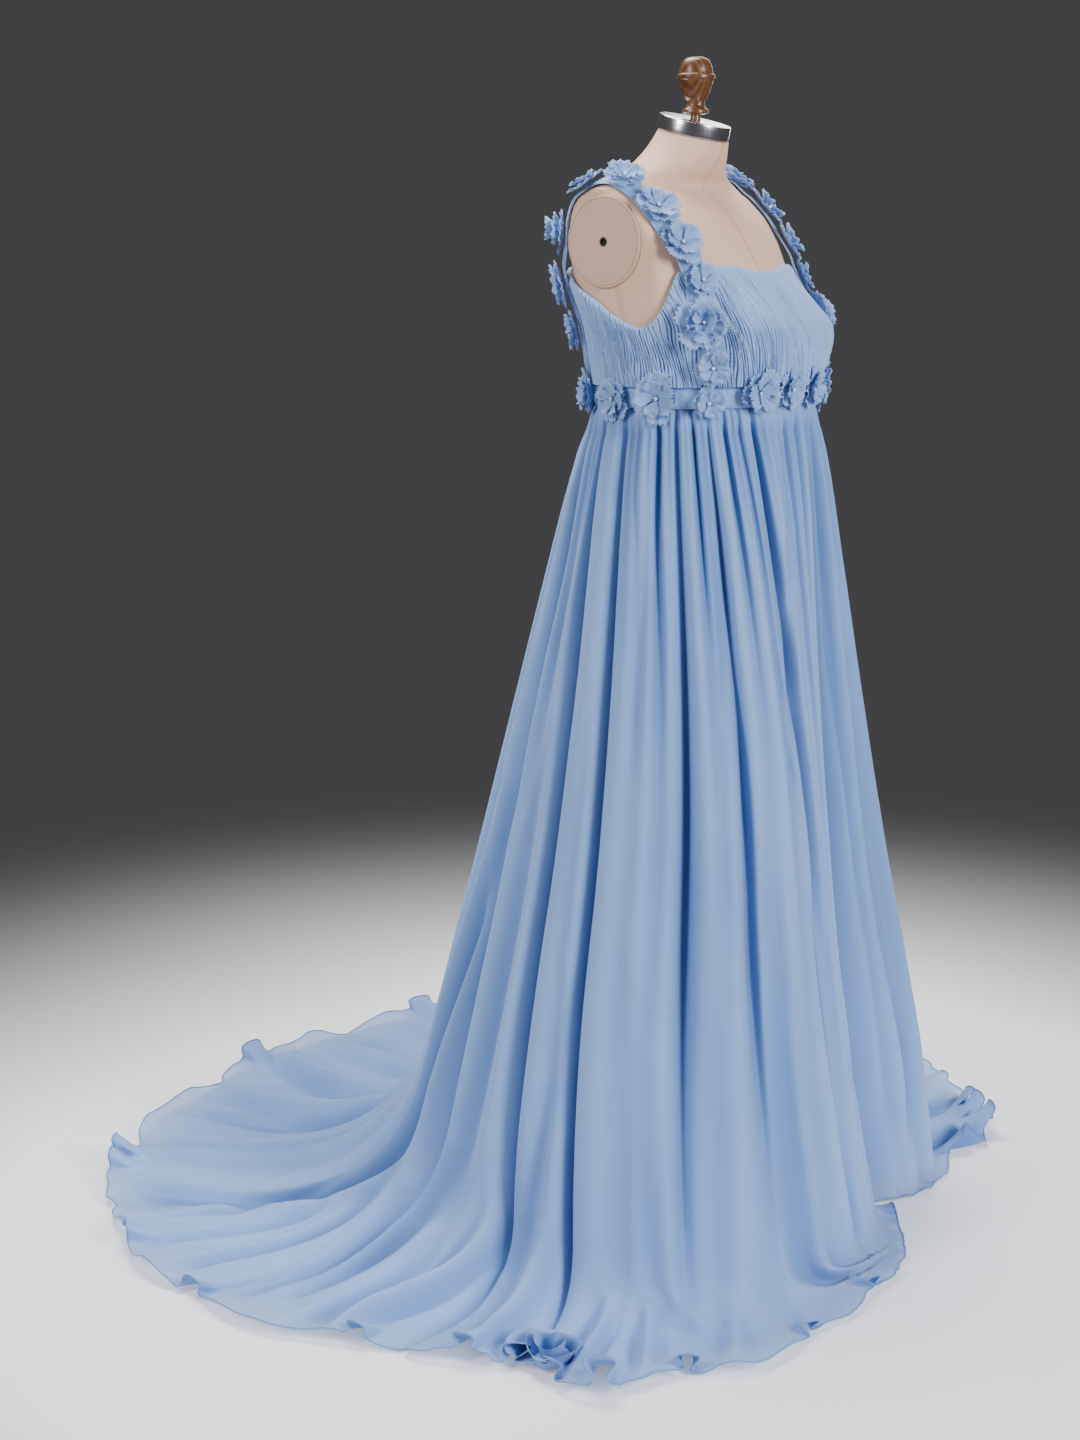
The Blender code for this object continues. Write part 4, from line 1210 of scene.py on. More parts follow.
    # Creases. Where each starts and ends, as a share of the fall (above 1 it is on the
    # floor) and an angle, how far it bows, its depth (a ridge where less than 0) and its width.
    creases: tuple[tuple[float, ...], ...] = (
        (0.10, -127, 0.80, -126, 0, 0.010, 0.012), (0.06, -119, 0.95, -122, -2, 0.012, 0.014),
        (0.02, -114, 0.50, -116, 2, 0.007, 0.009), (0.35, -109, 1.05, -112, 0, 0.014, 0.020),
        (0.30, -94, 0.95, -91, 0, 0.006, 0.012), (0.62, -89, 1.10, -92, 0, 0.009, 0.016),
        (0.05, -80, 0.42, -77, 0, 0.007, 0.010), (0.25, -72, 0.70, -73, 1, -0.004, 0.012),
        (0.60, -75, 1.05, -70, 0, 0.008, 0.018), (0.70, -66, 1.15, -61, 0, -0.008, 0.014),
        (0.08, -51, 0.45, -50, 0, 0.005, 0.010), (0.45, -54, 1.00, -52, 0, 0.006, 0.018),
        (0.30, -47, 0.85, -46, 0, -0.006, 0.010), (0.02, -36, 0.98, -7.5, 7, 0.009, 0.009),
        (0.03, -40, 0.80, -22, 4, -0.006, 0.012), (0.40, -35, 1.02, -26, -3, 0.010, 0.016),
        (0.64, -37, 1.50, -3, -9, 0.014, 0.017), (0.70, -31, 1.50, 4, -8, -0.012, 0.014),
        (0.02, -12, 0.45, -26, 0, 0.005, 0.008), (0.45, -56, 1.30, -48, 3, -0.008, 0.020),
        (0.50, -30, 1.20, -12, 4, -0.007, 0.020), (0.72, -66, 1.35, -56, -2, 0.009, 0.014),
        (0.01, 14, 0.85, 4, 0, 0.011, 0.007),
        (0.02, 21, 0.62, 9, 0, 0.007, 0.007), (0.40, 14, 1.00, 20, 0, -0.006, 0.014),
        (0.30, 30, 1.00, 33, 0, 0.010, 0.014), (0.10, 58, 0.80, 62, 2, 0.010, 0.014),
        (0.45, 74, 1.30, 77, 0, 0.013, 0.018), (0.05, 97, 0.70, 95, -2, 0.009, 0.013),
        (0.35, 115, 1.25, 117, 2, 0.013, 0.020), (0.08, 133, 0.75, 135, 0, 0.010, 0.014),
        (0.40, 153, 1.30, 152, -2, 0.014, 0.020), (0.10, 173, 0.80, 171, 2, 0.009, 0.013),
        (0.50, 192, 1.30, 191, 0, 0.014, 0.020), (0.06, 209, 0.75, 211, -2, 0.010, 0.014),
        (0.42, 226, 1.20, 229, 2, 0.012, 0.018), (0.80, -155, 1.97, -158, -3, -0.016, 0.034),
        (0.45, -126, 1.98, -147, -2, 0.036, 0.020),
        (1.12, -139, 1.99, -139, 0, 0.017, 0.010), (1.20, -134.5, 1.99, -132, 0, 0.015, 0.010),
        (1.05, -129, 1.99, -125, 0, 0.020, 0.012), (1.00, -123, 1.90, -117, 1, 0.016, 0.014),
        (0.86, -114, 1.75, -113, -2, 0.022, 0.017), (1.05, -108, 1.97, -106.5, 0, 0.014, 0.013),
        (0.90, -99, 2.00, -102, -2, -0.030, 0.012), (0.90, -88, 1.95, -86, 0, -0.022, 0.012),
        (1.00, -72, 1.90, -73, 0, -0.018, 0.009), (1.00, -65, 1.90, -64, 0, -0.014, 0.009),
        (1.00, -50, 1.90, -52, 0, -0.010, 0.012), (0.95, -167, 1.99, -168, 0, 0.020, 0.018),
        (1.10, -172, 1.99, -175, 0, -0.022, 0.020), (0.90, -176, 1.95, -178, 0, 0.020, 0.020),
        (1.10, 176, 2.00, 172, 2, -0.026, 0.020), (1.05, 163, 1.85, 166, 0, -0.020, 0.018),
        (1.10, 148, 2.00, 151, -2, -0.026, 0.018), (1.25, 140, 1.95, 141, 0, -0.012, 0.010),
        (1.05, 131, 1.90, 128, 2, -0.022, 0.018), (1.10, 112, 2.00, 116, 0, -0.024, 0.015),
        (1.05, 97, 1.95, 94, 0, -0.018, 0.013), (1.10, 82, 1.95, 84, 0, -0.016, 0.011),
        (0.95, 62, 1.95, 60, 0, -0.022, 0.012), (0.95, 72, 1.95, 73, 0, -0.018, 0.011),
    )
    # Bunched ruffles of the hem: the middle angle, half width, flutes, height and swing.
    bunches: tuple[tuple[float, ...], ...] = (
        (-80.6, 2.4, 1, 0.030, 0.0110), (-75.0, 2.0, 1, 0.018, 0.0080), (-68.6, 2.2, 1, 0.036, 0.0130),
        (-58.6, 1.9, 1, 0.026, 0.0105),
        (-18.6, 2.4, 1, 0.015, 0.0085), (-38.0, 2.4, 1, 0.018, 0.0090), (21.0, 2.6, 1, 0.016, 0.0040),
        (57.5, 4.2, 2, 0.042, 0.0110), (68.0, 4.0, 2, 0.030, 0.0090), (-99.5, 1.8, 1, 0.018, 0.0075),
        (-120.5, 2.2, 1, 0.024, 0.0095), (-134.0, 2.2, 1, 0.022, 0.0090), (-153.0, 3.0, 2, 0.030, 0.0100),
        (-86.5, 2.0, 1, 0.020, 0.0090), (176.0, 2.6, 1, 0.026, 0.0090), (152.0, 2.4, 1, 0.024, 0.0090),
        (118.0, 3.0, 2, 0.026, 0.0090), (90.0, 2.4, 1, 0.022, 0.0080),
    )

    def __post_init__(self) -> None:
        """Sorts the columns of the fold and floor tables."""
        (
            self.top, self.mid, self.hem, self.count, self.depth, self.width, self.foot, self.lean
        ) = np.array(self.folds, float).T
        self.starts = np.concatenate([[0.0], np.cumsum(self.count)])

    def _floor(self, which: int, angle: Array) -> Array:
        """A measure of the floor table at angles."""
        table = np.array(self.floor)
        return smooth(wrapped(angle), table[:, 0], table[:, which])

    def _valley(self, deep: Array, wide: Array, off: Array) -> Array:
        """Depth of a fold at a distance from its valley: a wide bell with a narrow one in it."""
        return deep * (0.64 * bell(off, wide) + 0.36 * bell(off, 0.42 * wide))

    def surface(self, place: Array, along: Array) -> tuple[Array, Array]:
        """Points of the skirt.

        A column is a line from the waistband to the floor and another along the floor, joined by
        a parabola where they meet. Its distance from the axis grows with a power of the fall,
        less the bells of the two valleys beside it, the gathers and the creases.

        Args:
            place: each column's place round the skirt, counted in gathers from the first fold.
            along: rows x columns shares of the way from the waistband (0) to the border's start
                (1) and to the hem (2).

        Returns:
            The points, and the painted shade of each, 0 to 1, from how deep it lies in a fold, gather or
            crease.
        """
        body = self.body
        total = self.starts[-1]
        place = np.asarray(place) % total
        fold = np.clip(np.searchsorted(self.starts, place, side="right") - 1, 0, len(self.count) - 1)
        number = self.count[fold]
        share = (place - self.starts[fold]) / number
        after = (fold + 1) % len(self.count)
        lap = np.where(after == 0, 360.0, 0.0)

        def angle_of(line: Array) -> Array:
            """A column's angle, between the valleys on both sides of it."""
            return line[fold] + (line[after] + lap - line[fold]) * share

        top, mid, hem = angle_of(self.top), angle_of(self.mid), angle_of(self.hem)
        fall = self._floor(1, hem)
        reach = np.maximum(self._floor(3, hem) - fall, self.reach_least)
        turn = np.minimum(self._floor(2, hem), self.turn_share * reach)
        level = (body.band_low + body.band_high) / 2
        start = body.points(top, np.full_like(top, level), body.ease + body.band_wall)
        centre = float(body.value("mid", np.array(level)))
        radius_top = np.hypot(start[:, 0], start[:, 1] - centre)
        height_top = body.band_low - body.seam - body.drop(top)
        length = np.hypot(height_top, fall - radius_top)

        body_part = limited(along) * (length + reach - self.border)
        run = body_part + limited(along - 1.0) * self.border
        past = run - length
        inside = np.abs(past) < turn
        back = np.where(inside, (turn - past) ** 2 / (4 * turn), np.maximum(-past, 0.0))
        ahead = np.where(inside, (turn + past) ** 2 / (4 * turn), np.maximum(past, 0.0))
        height = np.maximum(back * height_top / length, 0.0)
        down = limited(1.0 - height / height_top)
        spring = self.flare_spring * (1.0 - np.exp(-down / self.flare_soon))
        flared = spring + (1.0 - self.flare_spring) * down**self.flare_power
        radius = radius_top + (fall - radius_top) * flared + ahead

        half = 1.0 - self.mid_height / (body.band_low - body.seam)
        upper = limited(down / half)
        lower = limited((down - half) / (1.0 - half))
        angle = top + (mid - top) * (1.0 - (1.0 - upper) ** 2) + (hem - mid) * lower**2

        grow = limited(upper / self.fold_full) ** self.fold_power
        foot = limited((down - self.foot_from) / (1.0 - self.foot_from))
        span = np.radians(self.hem[after] + lap - self.hem[fold]) * radius
        narrow = self.fold_narrow + (1.0 - self.fold_narrow) * upper
        valley, slide = np.zeros_like(radius), np.zeros_like(radius)
        for index, off, way in ((fold, share * span, 1.0), (after, (1.0 - share) * span, -1.0)):
            deep = (self.depth[index] * (1.0 - foot) + self.foot[index] * foot) * grow
            wide = self.width[index] * narrow
            valley = valley + self._valley(deep, wide, off)
            leaning = np.maximum(self.lean[index] * way, 0.0) * self.lean_slide * grow
            slide = slide - way * leaning * bell(off - wide, 0.7 * wide)

        flat = limited(ahead / reach)
        level_share = limited(height / self.level_height)
        small = self._gathers(place, down, span / number) * level_share
        facing = limited(np.cos(np.radians(angle - self.fuller_angle)))
        fuller = self.fuller_out * facing * np.sin(np.pi * down**self.fuller_power)
        radius = radius - valley * (1.0 - self.flat_calm * flat) - small + fuller
        wave = 0.5 - 0.5 * np.cos(2 * np.pi * number * share)
        lift = self.lift_crest * np.sin(np.pi * share) ** 2 + (1.0 - self.lift_crest) * wave
        room = np.clip(reach / self.lift_reach, self.lift_least, self.lift_most)
        lift = lift * self.hem_lift * flat * room
        turned = np.radians(angle) + slide / radius
        grid = np.stack(
            [radius * np.sin(turned), centre * (1.0 - down) - radius * np.cos(turned),
             height + lift + body.cloth], axis=-1,
        )
        grid[..., 2] = np.where(along <= 0.0, height_top, grid[..., 2])
        raised, trough = self._creases(angle, down + flat, radius, hem)
        raised = raised * limited(along * 20.0)
        lying = limited(0.5 + 0.5 * past / turn) * np.pi / 2
        level = raised * np.cos(lying)
        grid = grid + np.stack(
            [level * np.sin(turned), -level * np.cos(turned), raised * np.sin(lying)], axis=-1
        )
        grid = self._ruffles(grid, place, hem, (along - 1.0) * self.border)
        grid[..., 2] = np.maximum(grid[..., 2], self.lowest)
        # Painted shade: deeper valleys, gathers and creases are darker.
        dark = (valley / self.dark_fold) ** 1.3 + small / self.dark_gather + trough / self.dark_crease
        return grid, limited(dark)

    def _gathers(self, place: Array, down: Array, pitch: Array) -> Array:
        """Depth of the gathers: a narrow trough at each whole place and a lesser one between.

        Args:
            place: places round the skirt, counted in gathers.
            down: shares of the fall.
            pitch: the width of a gather there.

        Returns:
            The depth, calm at the waistband and fading down each gather's own length.
        """
        table = np.array(self.gathers)
        start = np.clip(down / self.gather_full, self.gather_start, 1.0)
        depth = np.zeros_like(down)
        for step, share, reach in self.gather_steps:
            nearest = np.round(place - step)
            index = nearest.astype(int) % len(table)
            deep, length = table[index].T if step == 0.0 else table[::-1][index].T
            off = (place - step - nearest) * pitch
            fade = bell(down, length * reach)
            wide = (0.17 + 0.09 * np.minimum(down / 0.3, 1.0)) * pitch
            low = self.gather_low * (1.0 - fade) if step == 0.0 else 0.0
            depth = depth + (self.gather_depth * deep * share * fade + low) * bell(off, wide)
        return depth * start

    def _creases(self, angle: Array, fall: Array, radius: Array, hem: Array) -> tuple[Array, Array]:
        """Height of the listed creases, off the cloth: each a soft trough between low banks.

        Args:
            angle: angles of the points.
            fall: their shares of the fall, above 1 on the floor.
            radius: their distances from the axis.
            hem: their columns' angles at the hem; not used.

        Returns:
            The height, and the troughs' depth alone.
        """
        raised, trough = np.zeros_like(radius), np.zeros_like(radius)
        for start, first, end, last, bow, depth, width in self.creases:
            share = limited((fall - start) / (end - start))
            line = first + (last - first) * share + bow * 4 * share * (1.0 - share)
            off = np.radians(wrapped(angle - line)) * radius
            strength = depth * np.sin(np.pi * share) ** 0.7
            within = bell(off, width)
            beside = bell(np.abs(off) - self.bank_away * width, self.bank_width * width)
            raised = raised - strength * (within - self.bank * beside)
            trough = trough + np.maximum(strength, 0.0) * within + np.maximum(-0.5 * strength, 0.0) * beside
        return raised, trough

    def _ruffles(self, grid: Array, place: Array, hem: Array, past: Array) -> Array:
        """The wavy hem: waves that grow towards the edge and swing sideways as they rise.

        The edge lifts by height * (1 - cos phase) / 2 and swings along itself by
        swing * sin(2 * phase), which rounds the waves, and folds them over where they are steep.

        Args:
            grid: the points.
            place: the columns' places, counted in gathers.
            hem: the columns' angles at the hem.
            past: how far each point lies beyond the border's start.

        Returns:
            The moved points.
        """
        grow = limited((past - self.border + self.ruffle_depth) / self.ruffle_depth)
        turn = np.radians(hem)
        sideways = np.stack([np.cos(turn), np.sin(turn), 0.0 * turn], axis=-1)
        outwards = np.stack([np.sin(turn), -np.cos(turn), 0.0 * turn], axis=-1)
        phase = 2 * np.pi * (1.5 * place + 0.35 * np.sin(1.3 * place) + 0.25 * np.sin(0.47 * place + 1.0))
        pitch = np.linalg.norm(np.gradient(grid[-1], place, axis=0), axis=-1)
        uneven = 0.55 + 0.45 * np.sin(0.83 * place + 0.6) * np.sin(0.29 * place)
        high = self.ruffle * np.clip(pitch / self.ruffle_pitch, self.ruffle_least, 1.0) * uneven
        calm, over = self.front_calm
        high = high * (0.45 + 0.55 * limited((np.abs(wrapped(hem)) - calm) / over))
        rise = high * (1.0 - np.cos(phase)) / 2
        swing = self.ruffle_swing * high * np.sin(2 * phase)
        reach = high * (0.6 * np.sin(phase * 0.5 + 0.8) + 0.4 * np.sin(0.61 * phase))
        for middle, half, flutes, height, sway in self.bunches:
            off = wrapped(hem - middle) / half
            near = np.exp(-(off**4))
            local = 2 * np.pi * flutes * (off + 1.0) / 2
            rise = rise * (1.0 - near) + near * height * (1.0 - np.cos(local)) / 2
            swing = swing * (1.0 - near) + near * sway * np.sin(2 * local)
        lifted = np.stack([0.0 * rise, 0.0 * rise, rise], axis=-1)
        ease = (grow**1.5)[..., None]
        return grid + ease * (lifted + swing[:, None] * sideways) + ease**2 * reach[:, None] * outwards

    def _bunched(self, place: Array, along: Array) -> Array:
        """How much the cloth is bunched into ruffles, 0 to 1, at places round the skirt.

        Args:
            place: places round the skirt, counted in gathers.
            along: shares of the way down, as for `surface`.

        Returns:
            The shares.
        """
        total = self.starts[-1]
        stops = np.append(self.starts, total + self.starts[1])
        angles = np.append(self.hem, (self.hem[0] + 360.0, self.hem[1] + 360.0))
        hem = np.interp(np.asarray(place) % total, stops, angles)
        near = sum(
            np.exp(-((wrapped(hem - middle) / half) ** 4)) for middle, half, *_ in self.bunches
        )
        return limited(near) * limited(along)

    def _rolled(self, name: str, edge: Array, outward: Array) -> Piece:
        """The rolled edge of the hem: a small ring carried along the border's last row.

        Args:
            name: which half.
            edge: the points of that row.
            outward: at each point, the way out of the cloth.

        Returns:
            The piece.
        """
        ahead = unit(np.gradient(edge, axis=0))
        outward = unit(outward)
        outward = unit(outward - ahead * np.sum(outward * ahead, axis=-1, keepdims=True))
        upward = np.cross(outward, ahead)
        turn = once_round(self.roll_around)[:, None, None]
        ring = edge[None] + self.roll * np.cos(turn) * outward + self.roll * np.sin(turn) * upward
        ring[..., 2] = np.maximum(ring[..., 2], self.roll_lowest)
        rings = np.swapaxes(ring, 0, 1)[:, ::-1]
        rolled = add_loft(f"rolled_hem_{name}", rings, ROLLED_HEM, crease=80.0)
        return rolled

    def _half(self, name: str, first: float, last: float) -> None:
        """Front or back of the skirt, between two places: cloth, border and rolled hem.

        Args:
            name: which half.
            first: the place of its first seam, counted in gathers.
            last: the place of its last seam.
        """
        place = np.linspace(first, last, int((last - first) * self.steps) + 1)
        along = np.linspace(0.0, 1.0, self.rows)[:, None] + 0.0 * place
        # The surface also gives each point's painted shade in folds, gathers and creases.
        grid, hollow = self.surface(place, along)
        cloth = add_sheet(f"skirt_{name}_chiffon", grid, CHIFFON, {"hollow": hollow})
        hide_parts(f"skirt_{name}")

        place = np.linspace(first, last, int((last - first) * self.border_steps) + 1)
        line = np.concatenate([self.tuck, np.linspace(0.0, 1.0, self.border_rows)])
        along = 1.0 + line[:, None] + 0.0 * place
        # The border carries the same painted shade.
        grid, hollow = self.surface(place, along)
        grid[..., 2] -= np.where(along < 1.0, self.under, 0.0)
        sheer = limited((along - 1.05) * 1.6) * (1.0 - self._bunched(place, along))
        border = add_sheet(f"hem_border_{name}", grid, HEM_CHIFFON, {"hollow": hollow, "sheer": sheer})

        edge = grid[-1]
        hem_pieces = [border, self._rolled(name, edge, edge - grid[-2])]
        if name == "front":
            hem_pieces.append(Rosette().build())
        middle = np.array([0.0 if name == "front" else 180.0])
        drop = float(self._floor(3, middle)[0]) + self.fall_length

    def build(self) -> None:
        """Makes both halves."""
        first, last = (self.starts[seam] for seam in self.seams)
        self._half("front", first, last)
        self._half("back", last, first + self.starts[-1])


# ---- flowers and straps ----------------------------------------------------------------------


@dataclass
class Flowers:
    """Sewn chiffon flowers: rings of scalloped, pinked petals round a pearl."""

    petals: int = 5
    rows: int = 7
    columns: int = 17
    foot: float = 0.0020
    grow: float = 1.22
    base: float = 0.0010
    rise: float = 0.13
    thick: float = 0.0004
    pearl: float = 0.0023
    pearl_rows: int = 8
    pearl_around: int = 12
    # Layers of petals: their reach, how steeply they rise, the ruffle at the rim, and their turn.
    layers: tuple[tuple[float, ...], ...] = (
        (1.00, 1.0, 0.0012, 0.0), (0.80, 2.6, 0.0014, 36.0), (0.50, 4.2, 0.0012, 15.0),
    )
    spots: list[Array] = field(default_factory=list)

    def _petals(self, radius: float, seed: int, layers: int) -> Array:
        """All petals of one flower in its own frame, z away from the cloth.

        A petal is a grid of u from the heart (0) to the rim (1) and v across (-1 to 1). It spans a
        little more than its share of the round, its rim is scalloped with a notch in the middle
        and pinked, it rises as a power of u, tilts so that it lies over its neighbour, and waves.

        Args:
            radius: the flower's radius.
            seed: the flower's number.
            layers: how many layers it has.

        Returns:
            petals x rows x columns x 3 points.
        """
        u = np.linspace(0.10, 1.0, self.rows)[:, None]
        v = np.linspace(-1.0, 1.0, self.columns)[None]
        teeth = 0.06 * np.where(np.arange(self.columns) % 2, 1.0, -1.0)[None] * u**8
        made = []
        for layer, (reach, steep, ruffle, turn) in enumerate(self.layers[:layers]):
            for petal in range(self.petals):
                key = seed * 17.0 + layer * 5.0 + petal
                luck = [float(chance(key, salt)) for salt in range(6)]
                size = self.grow * radius * reach * (0.82 + 0.30 * luck[0])
                rim = 1.0 - 0.30 * v**2 - 0.10 * v**8 - 0.06 * bell(v, 0.22) + teeth
                across = np.radians(360.0 / self.petals * 0.55) * (1.0 + 0.10 * luck[1])
                bearing = np.radians(petal * 360.0 / self.petals + turn + 24.0 * (luck[2] - 0.5))
                angle = bearing + v * across * (0.75 + 0.25 * u)
                away = size * u * (1.0 - (1.0 - rim) * u**3)
                cup = (self.base + radius * self.rise * steep) * (0.8 + 0.5 * luck[3])
                wave = ruffle * u**2 * np.sin(np.pi * (2.2 + luck[4]) * v + 6.0 * luck[5])
                z = self.foot * (1 + layer) + cup * u**1.6 + wave + 0.0010 * v * u
                flat = [away * np.cos(angle), away * np.sin(angle)]
                made.append(np.stack([*flat, z + 0.0 * angle], axis=-1))
        return np.array(made)

    def add(
        self, name: str, node: str, place: Array, out: Array, up: Array, radius: float, turn: float,
        layers: int = 2,
    ) -> Piece:
        """Sews one flower on.

        Args:
            name: the piece's name.
            node: the solid that it replaces.
            place: the middle of its foot.
            out: the way it faces.
            up: its upright.
            radius: its radius.
            turn: its turn about the way it faces, in degrees.
            layers: how many layers of petals it has.

        Returns:
            The flower.
        """
        out = unit(np.asarray(out))
        right = unit(np.cross(up, out))
        upright = np.cross(out, right)
        local = self._petals(radius, len(self.spots) + 1, layers)
        spin = np.radians(turn)
        x = local[..., :1] * np.cos(spin) - local[..., 1:2] * np.sin(spin)
        y = local[..., :1] * np.sin(spin) + local[..., 1:2] * np.cos(spin)
        points = place + x * right + y * upright + local[..., 2:] * out
        faces = grid_faces(self.rows, self.columns, copies=len(local))
        rim = np.broadcast_to(np.linspace(0.0, 1.0, self.rows)[None, :, None], local.shape[:3])
        # Painted shade deepens towards each petal's heart; the sheer rims are paler cloth.
        masks = {"hollow": (1.0 - rim) * 0.5, "sheer": limited(rim * 2.0 - 1.2)}
        piece = add_piece(name, points, faces, PETAL, masks)
        wall = piece.modifiers.new("cloth", "SOLIDIFY")
        wall.thickness, wall.offset = self.thick, 0.0
        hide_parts(node)
        self.spots.append(place + out * (self.foot * (layers + 0.6) + self.pearl))
        return piece

    def pearls(self) -> None:
        """All pearls, each a small ball of rings, in one piece."""
        rows, around = self.pearl_rows, self.pearl_around
        tilt = np.linspace(0.12, np.pi - 0.12, rows)
        turn = once_round(around)
        level = np.outer(np.cos(tilt), np.ones(around))
        ball = np.stack(
            [np.outer(np.sin(tilt), np.cos(turn)), np.outer(np.sin(tilt), np.sin(turn)), level], axis=-1
        ) * self.pearl
        points = np.array(self.spots)[:, None, None] + ball
        faces = grid_faces(rows, around, wrap=True, copies=len(self.spots)).tolist()
        for start in range(0, len(self.spots) * rows * around, rows * around):
            end = start + rows * around
            faces.append(list(range(start, start + around)))
            faces.append(list(range(end - around, end))[::-1])
        piece = add_piece("flower_pearls", points, faces, PEARL)


@dataclass
class Straps:
    """Flat shoulder straps laid over the bodice, the shoulder and the back, with their flowers."""

    body: Body
    flowers: Flowers
    width: float = 0.035
    wall: float = 0.0018
    edge_wall: float = 0.0008
    pull: float = 0.0004
    stitch: float = 0.0003
    clear: float = 0.0032
    smoothing: int = 12
    stations: int = 150
    across: int = 11
    path: tuple[tuple[float, float, float], ...] = (
        (0.131, -0.107, 1.1640), (0.134, -0.107, 1.2070), (0.137, -0.098, 1.2380),
        (0.135, -0.088, 1.2680), (0.130, -0.080, 1.2900), (0.130, -0.064, 1.3150),
        (0.135, -0.050, 1.3350), (0.138, -0.036, 1.3560), (0.140, -0.019, 1.3780),
        (0.141, 0.004, 1.4020), (0.141, 0.034, 1.4140), (0.142, 0.066, 1.4050),
        (0.144, 0.088, 1.3800), (0.144, 0.098, 1.3450), (0.142, 0.106, 1.3000),
        (0.137, 0.108, 1.2350), (0.131, 0.104, 1.1600),
    )
    # Flowers along a strap: the share of its length, how far aside, radius, turn and layers.
    sewn: tuple[tuple[float, ...], ...] = (
        (0.036, 0.000, 0.020, 30, 2), (0.127, -0.002, 0.029, 10, 3), (0.215, 0.003, 0.021, 44, 2),
        (0.300, 0.000, 0.025, 20, 2), (0.393, 0.002, 0.026, 60, 2), (0.492, 0.002, 0.024, 5, 2),
        (0.575, -0.003, 0.021, 35, 2), (0.675, 0.003, 0.025, 64, 3), (0.785, -0.002, 0.026, 24, 2),
        (0.892, 0.002, 0.025, 50, 2),
    )
    gap: float = 0.0015

    def build(self) -> None:
        """Makes both straps with their flowers."""
        covered = Covered(self.body)
        for side in Side:
            self._strap(side, covered)

    def _line(self, side: Side) -> Array:
        """Evenly spaced points on a smooth curve (Catmull-Rom) through the path's points.

        Args:
            side: the wearer's side that the strap is on.

        Returns:
            stations x 3 points.
        """
        points = np.array(self.path) * (side.value, 1, 1)
        padded = np.vstack([2 * points[0] - points[1], points, 2 * points[-1] - points[-2]])
        t = np.linspace(0.0, 1.0, 24, endpoint=False)[None, :, None]
        p0, p1, p2, p3 = (padded[k:len(padded) - 3 + k, None] for k in range(4))
        fine = 0.5 * (2 * p1 + (p2 - p0) * t + (2 * p0 - 5 * p1 + 4 * p2 - p3) * t**2
                      + (3 * p1 - p0 - 3 * p2 + p3) * t**3)
        fine = np.vstack([fine.reshape(-1, 3), points[-1:]])
        run = np.concatenate([[0.0], np.cumsum(np.linalg.norm(np.diff(fine, axis=0), axis=1))])
        wanted = np.linspace(0.0, run[-1], self.stations)
        return np.stack([np.interp(wanted, run, fine[:, k]) for k in range(3)], axis=-1)

    def _strap(self, side: Side, covered: Covered) -> None:
        """One strap: its middle line laid on the body, and a flat shell carried along it.

        Args:
            side: the wearer's side that it is on.
            covered: the body that it is laid on.
        """
        name = side.name.lower()
        middle, out = covered.lay(self._line(side), self.clear)
        along = unit(np.gradient(middle, axis=0))
        for _ in range(self.smoothing):
            out[1:-1] = (out[:-2] + 2 * out[1:-1] + out[2:]) / 4
        out = unit(out - along * np.sum(out * along, axis=-1, keepdims=True))
        sideways = np.cross(along, out)
        place = np.linspace(-0.5, 0.5, self.across)[:, None, None]
        inner, _ = covered.lay(middle + sideways * place * self.width, self.clear)
        station = np.arange(self.stations)[None, :, None]
        edge = (1.0 - np.abs(2 * place) ** 6) ** 0.5
        pull = self.pull * np.sin(station * 0.9 + 2.0 * np.sin(station * 0.21)) * np.abs(2 * place)
        stitch = bell(np.abs(place) - 0.40, 0.03)
        rounded = self.edge_wall + (self.wall - self.edge_wall) * edge
        outer = inner + out * (rounded + pull - self.stitch * stitch)
        # Painted shade along the stitch grooves.
        masks = {"hollow": (stitch * 0.6 + 0.0 * station)[..., 0]}
        strap = add_shell(f"strap_band_{name}", outer, inner, BAND, masks)
        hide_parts(f"strap_{name}")
        centre = inner[self.across // 2] + out * self.wall
        for index, (share, aside, radius, turn, layers) in enumerate(self.sewn):
            spot = share * (self.stations - 1)
            low = int(spot)
            mix = spot - low
            point = centre[low] * (1 - mix) + centre[low + 1] * mix
            facing = out[low] * (1 - mix) + out[low + 1] * mix
            point = point + sideways[low] * aside + facing * self.gap
            label = f"{name}_{index + 1:02d}"
            self.flowers.add(
                f"petals_strap_{label}", f"strap_flower_{label}", point, facing, along[low], radius,
                turn * side.value, int(layers),
            )


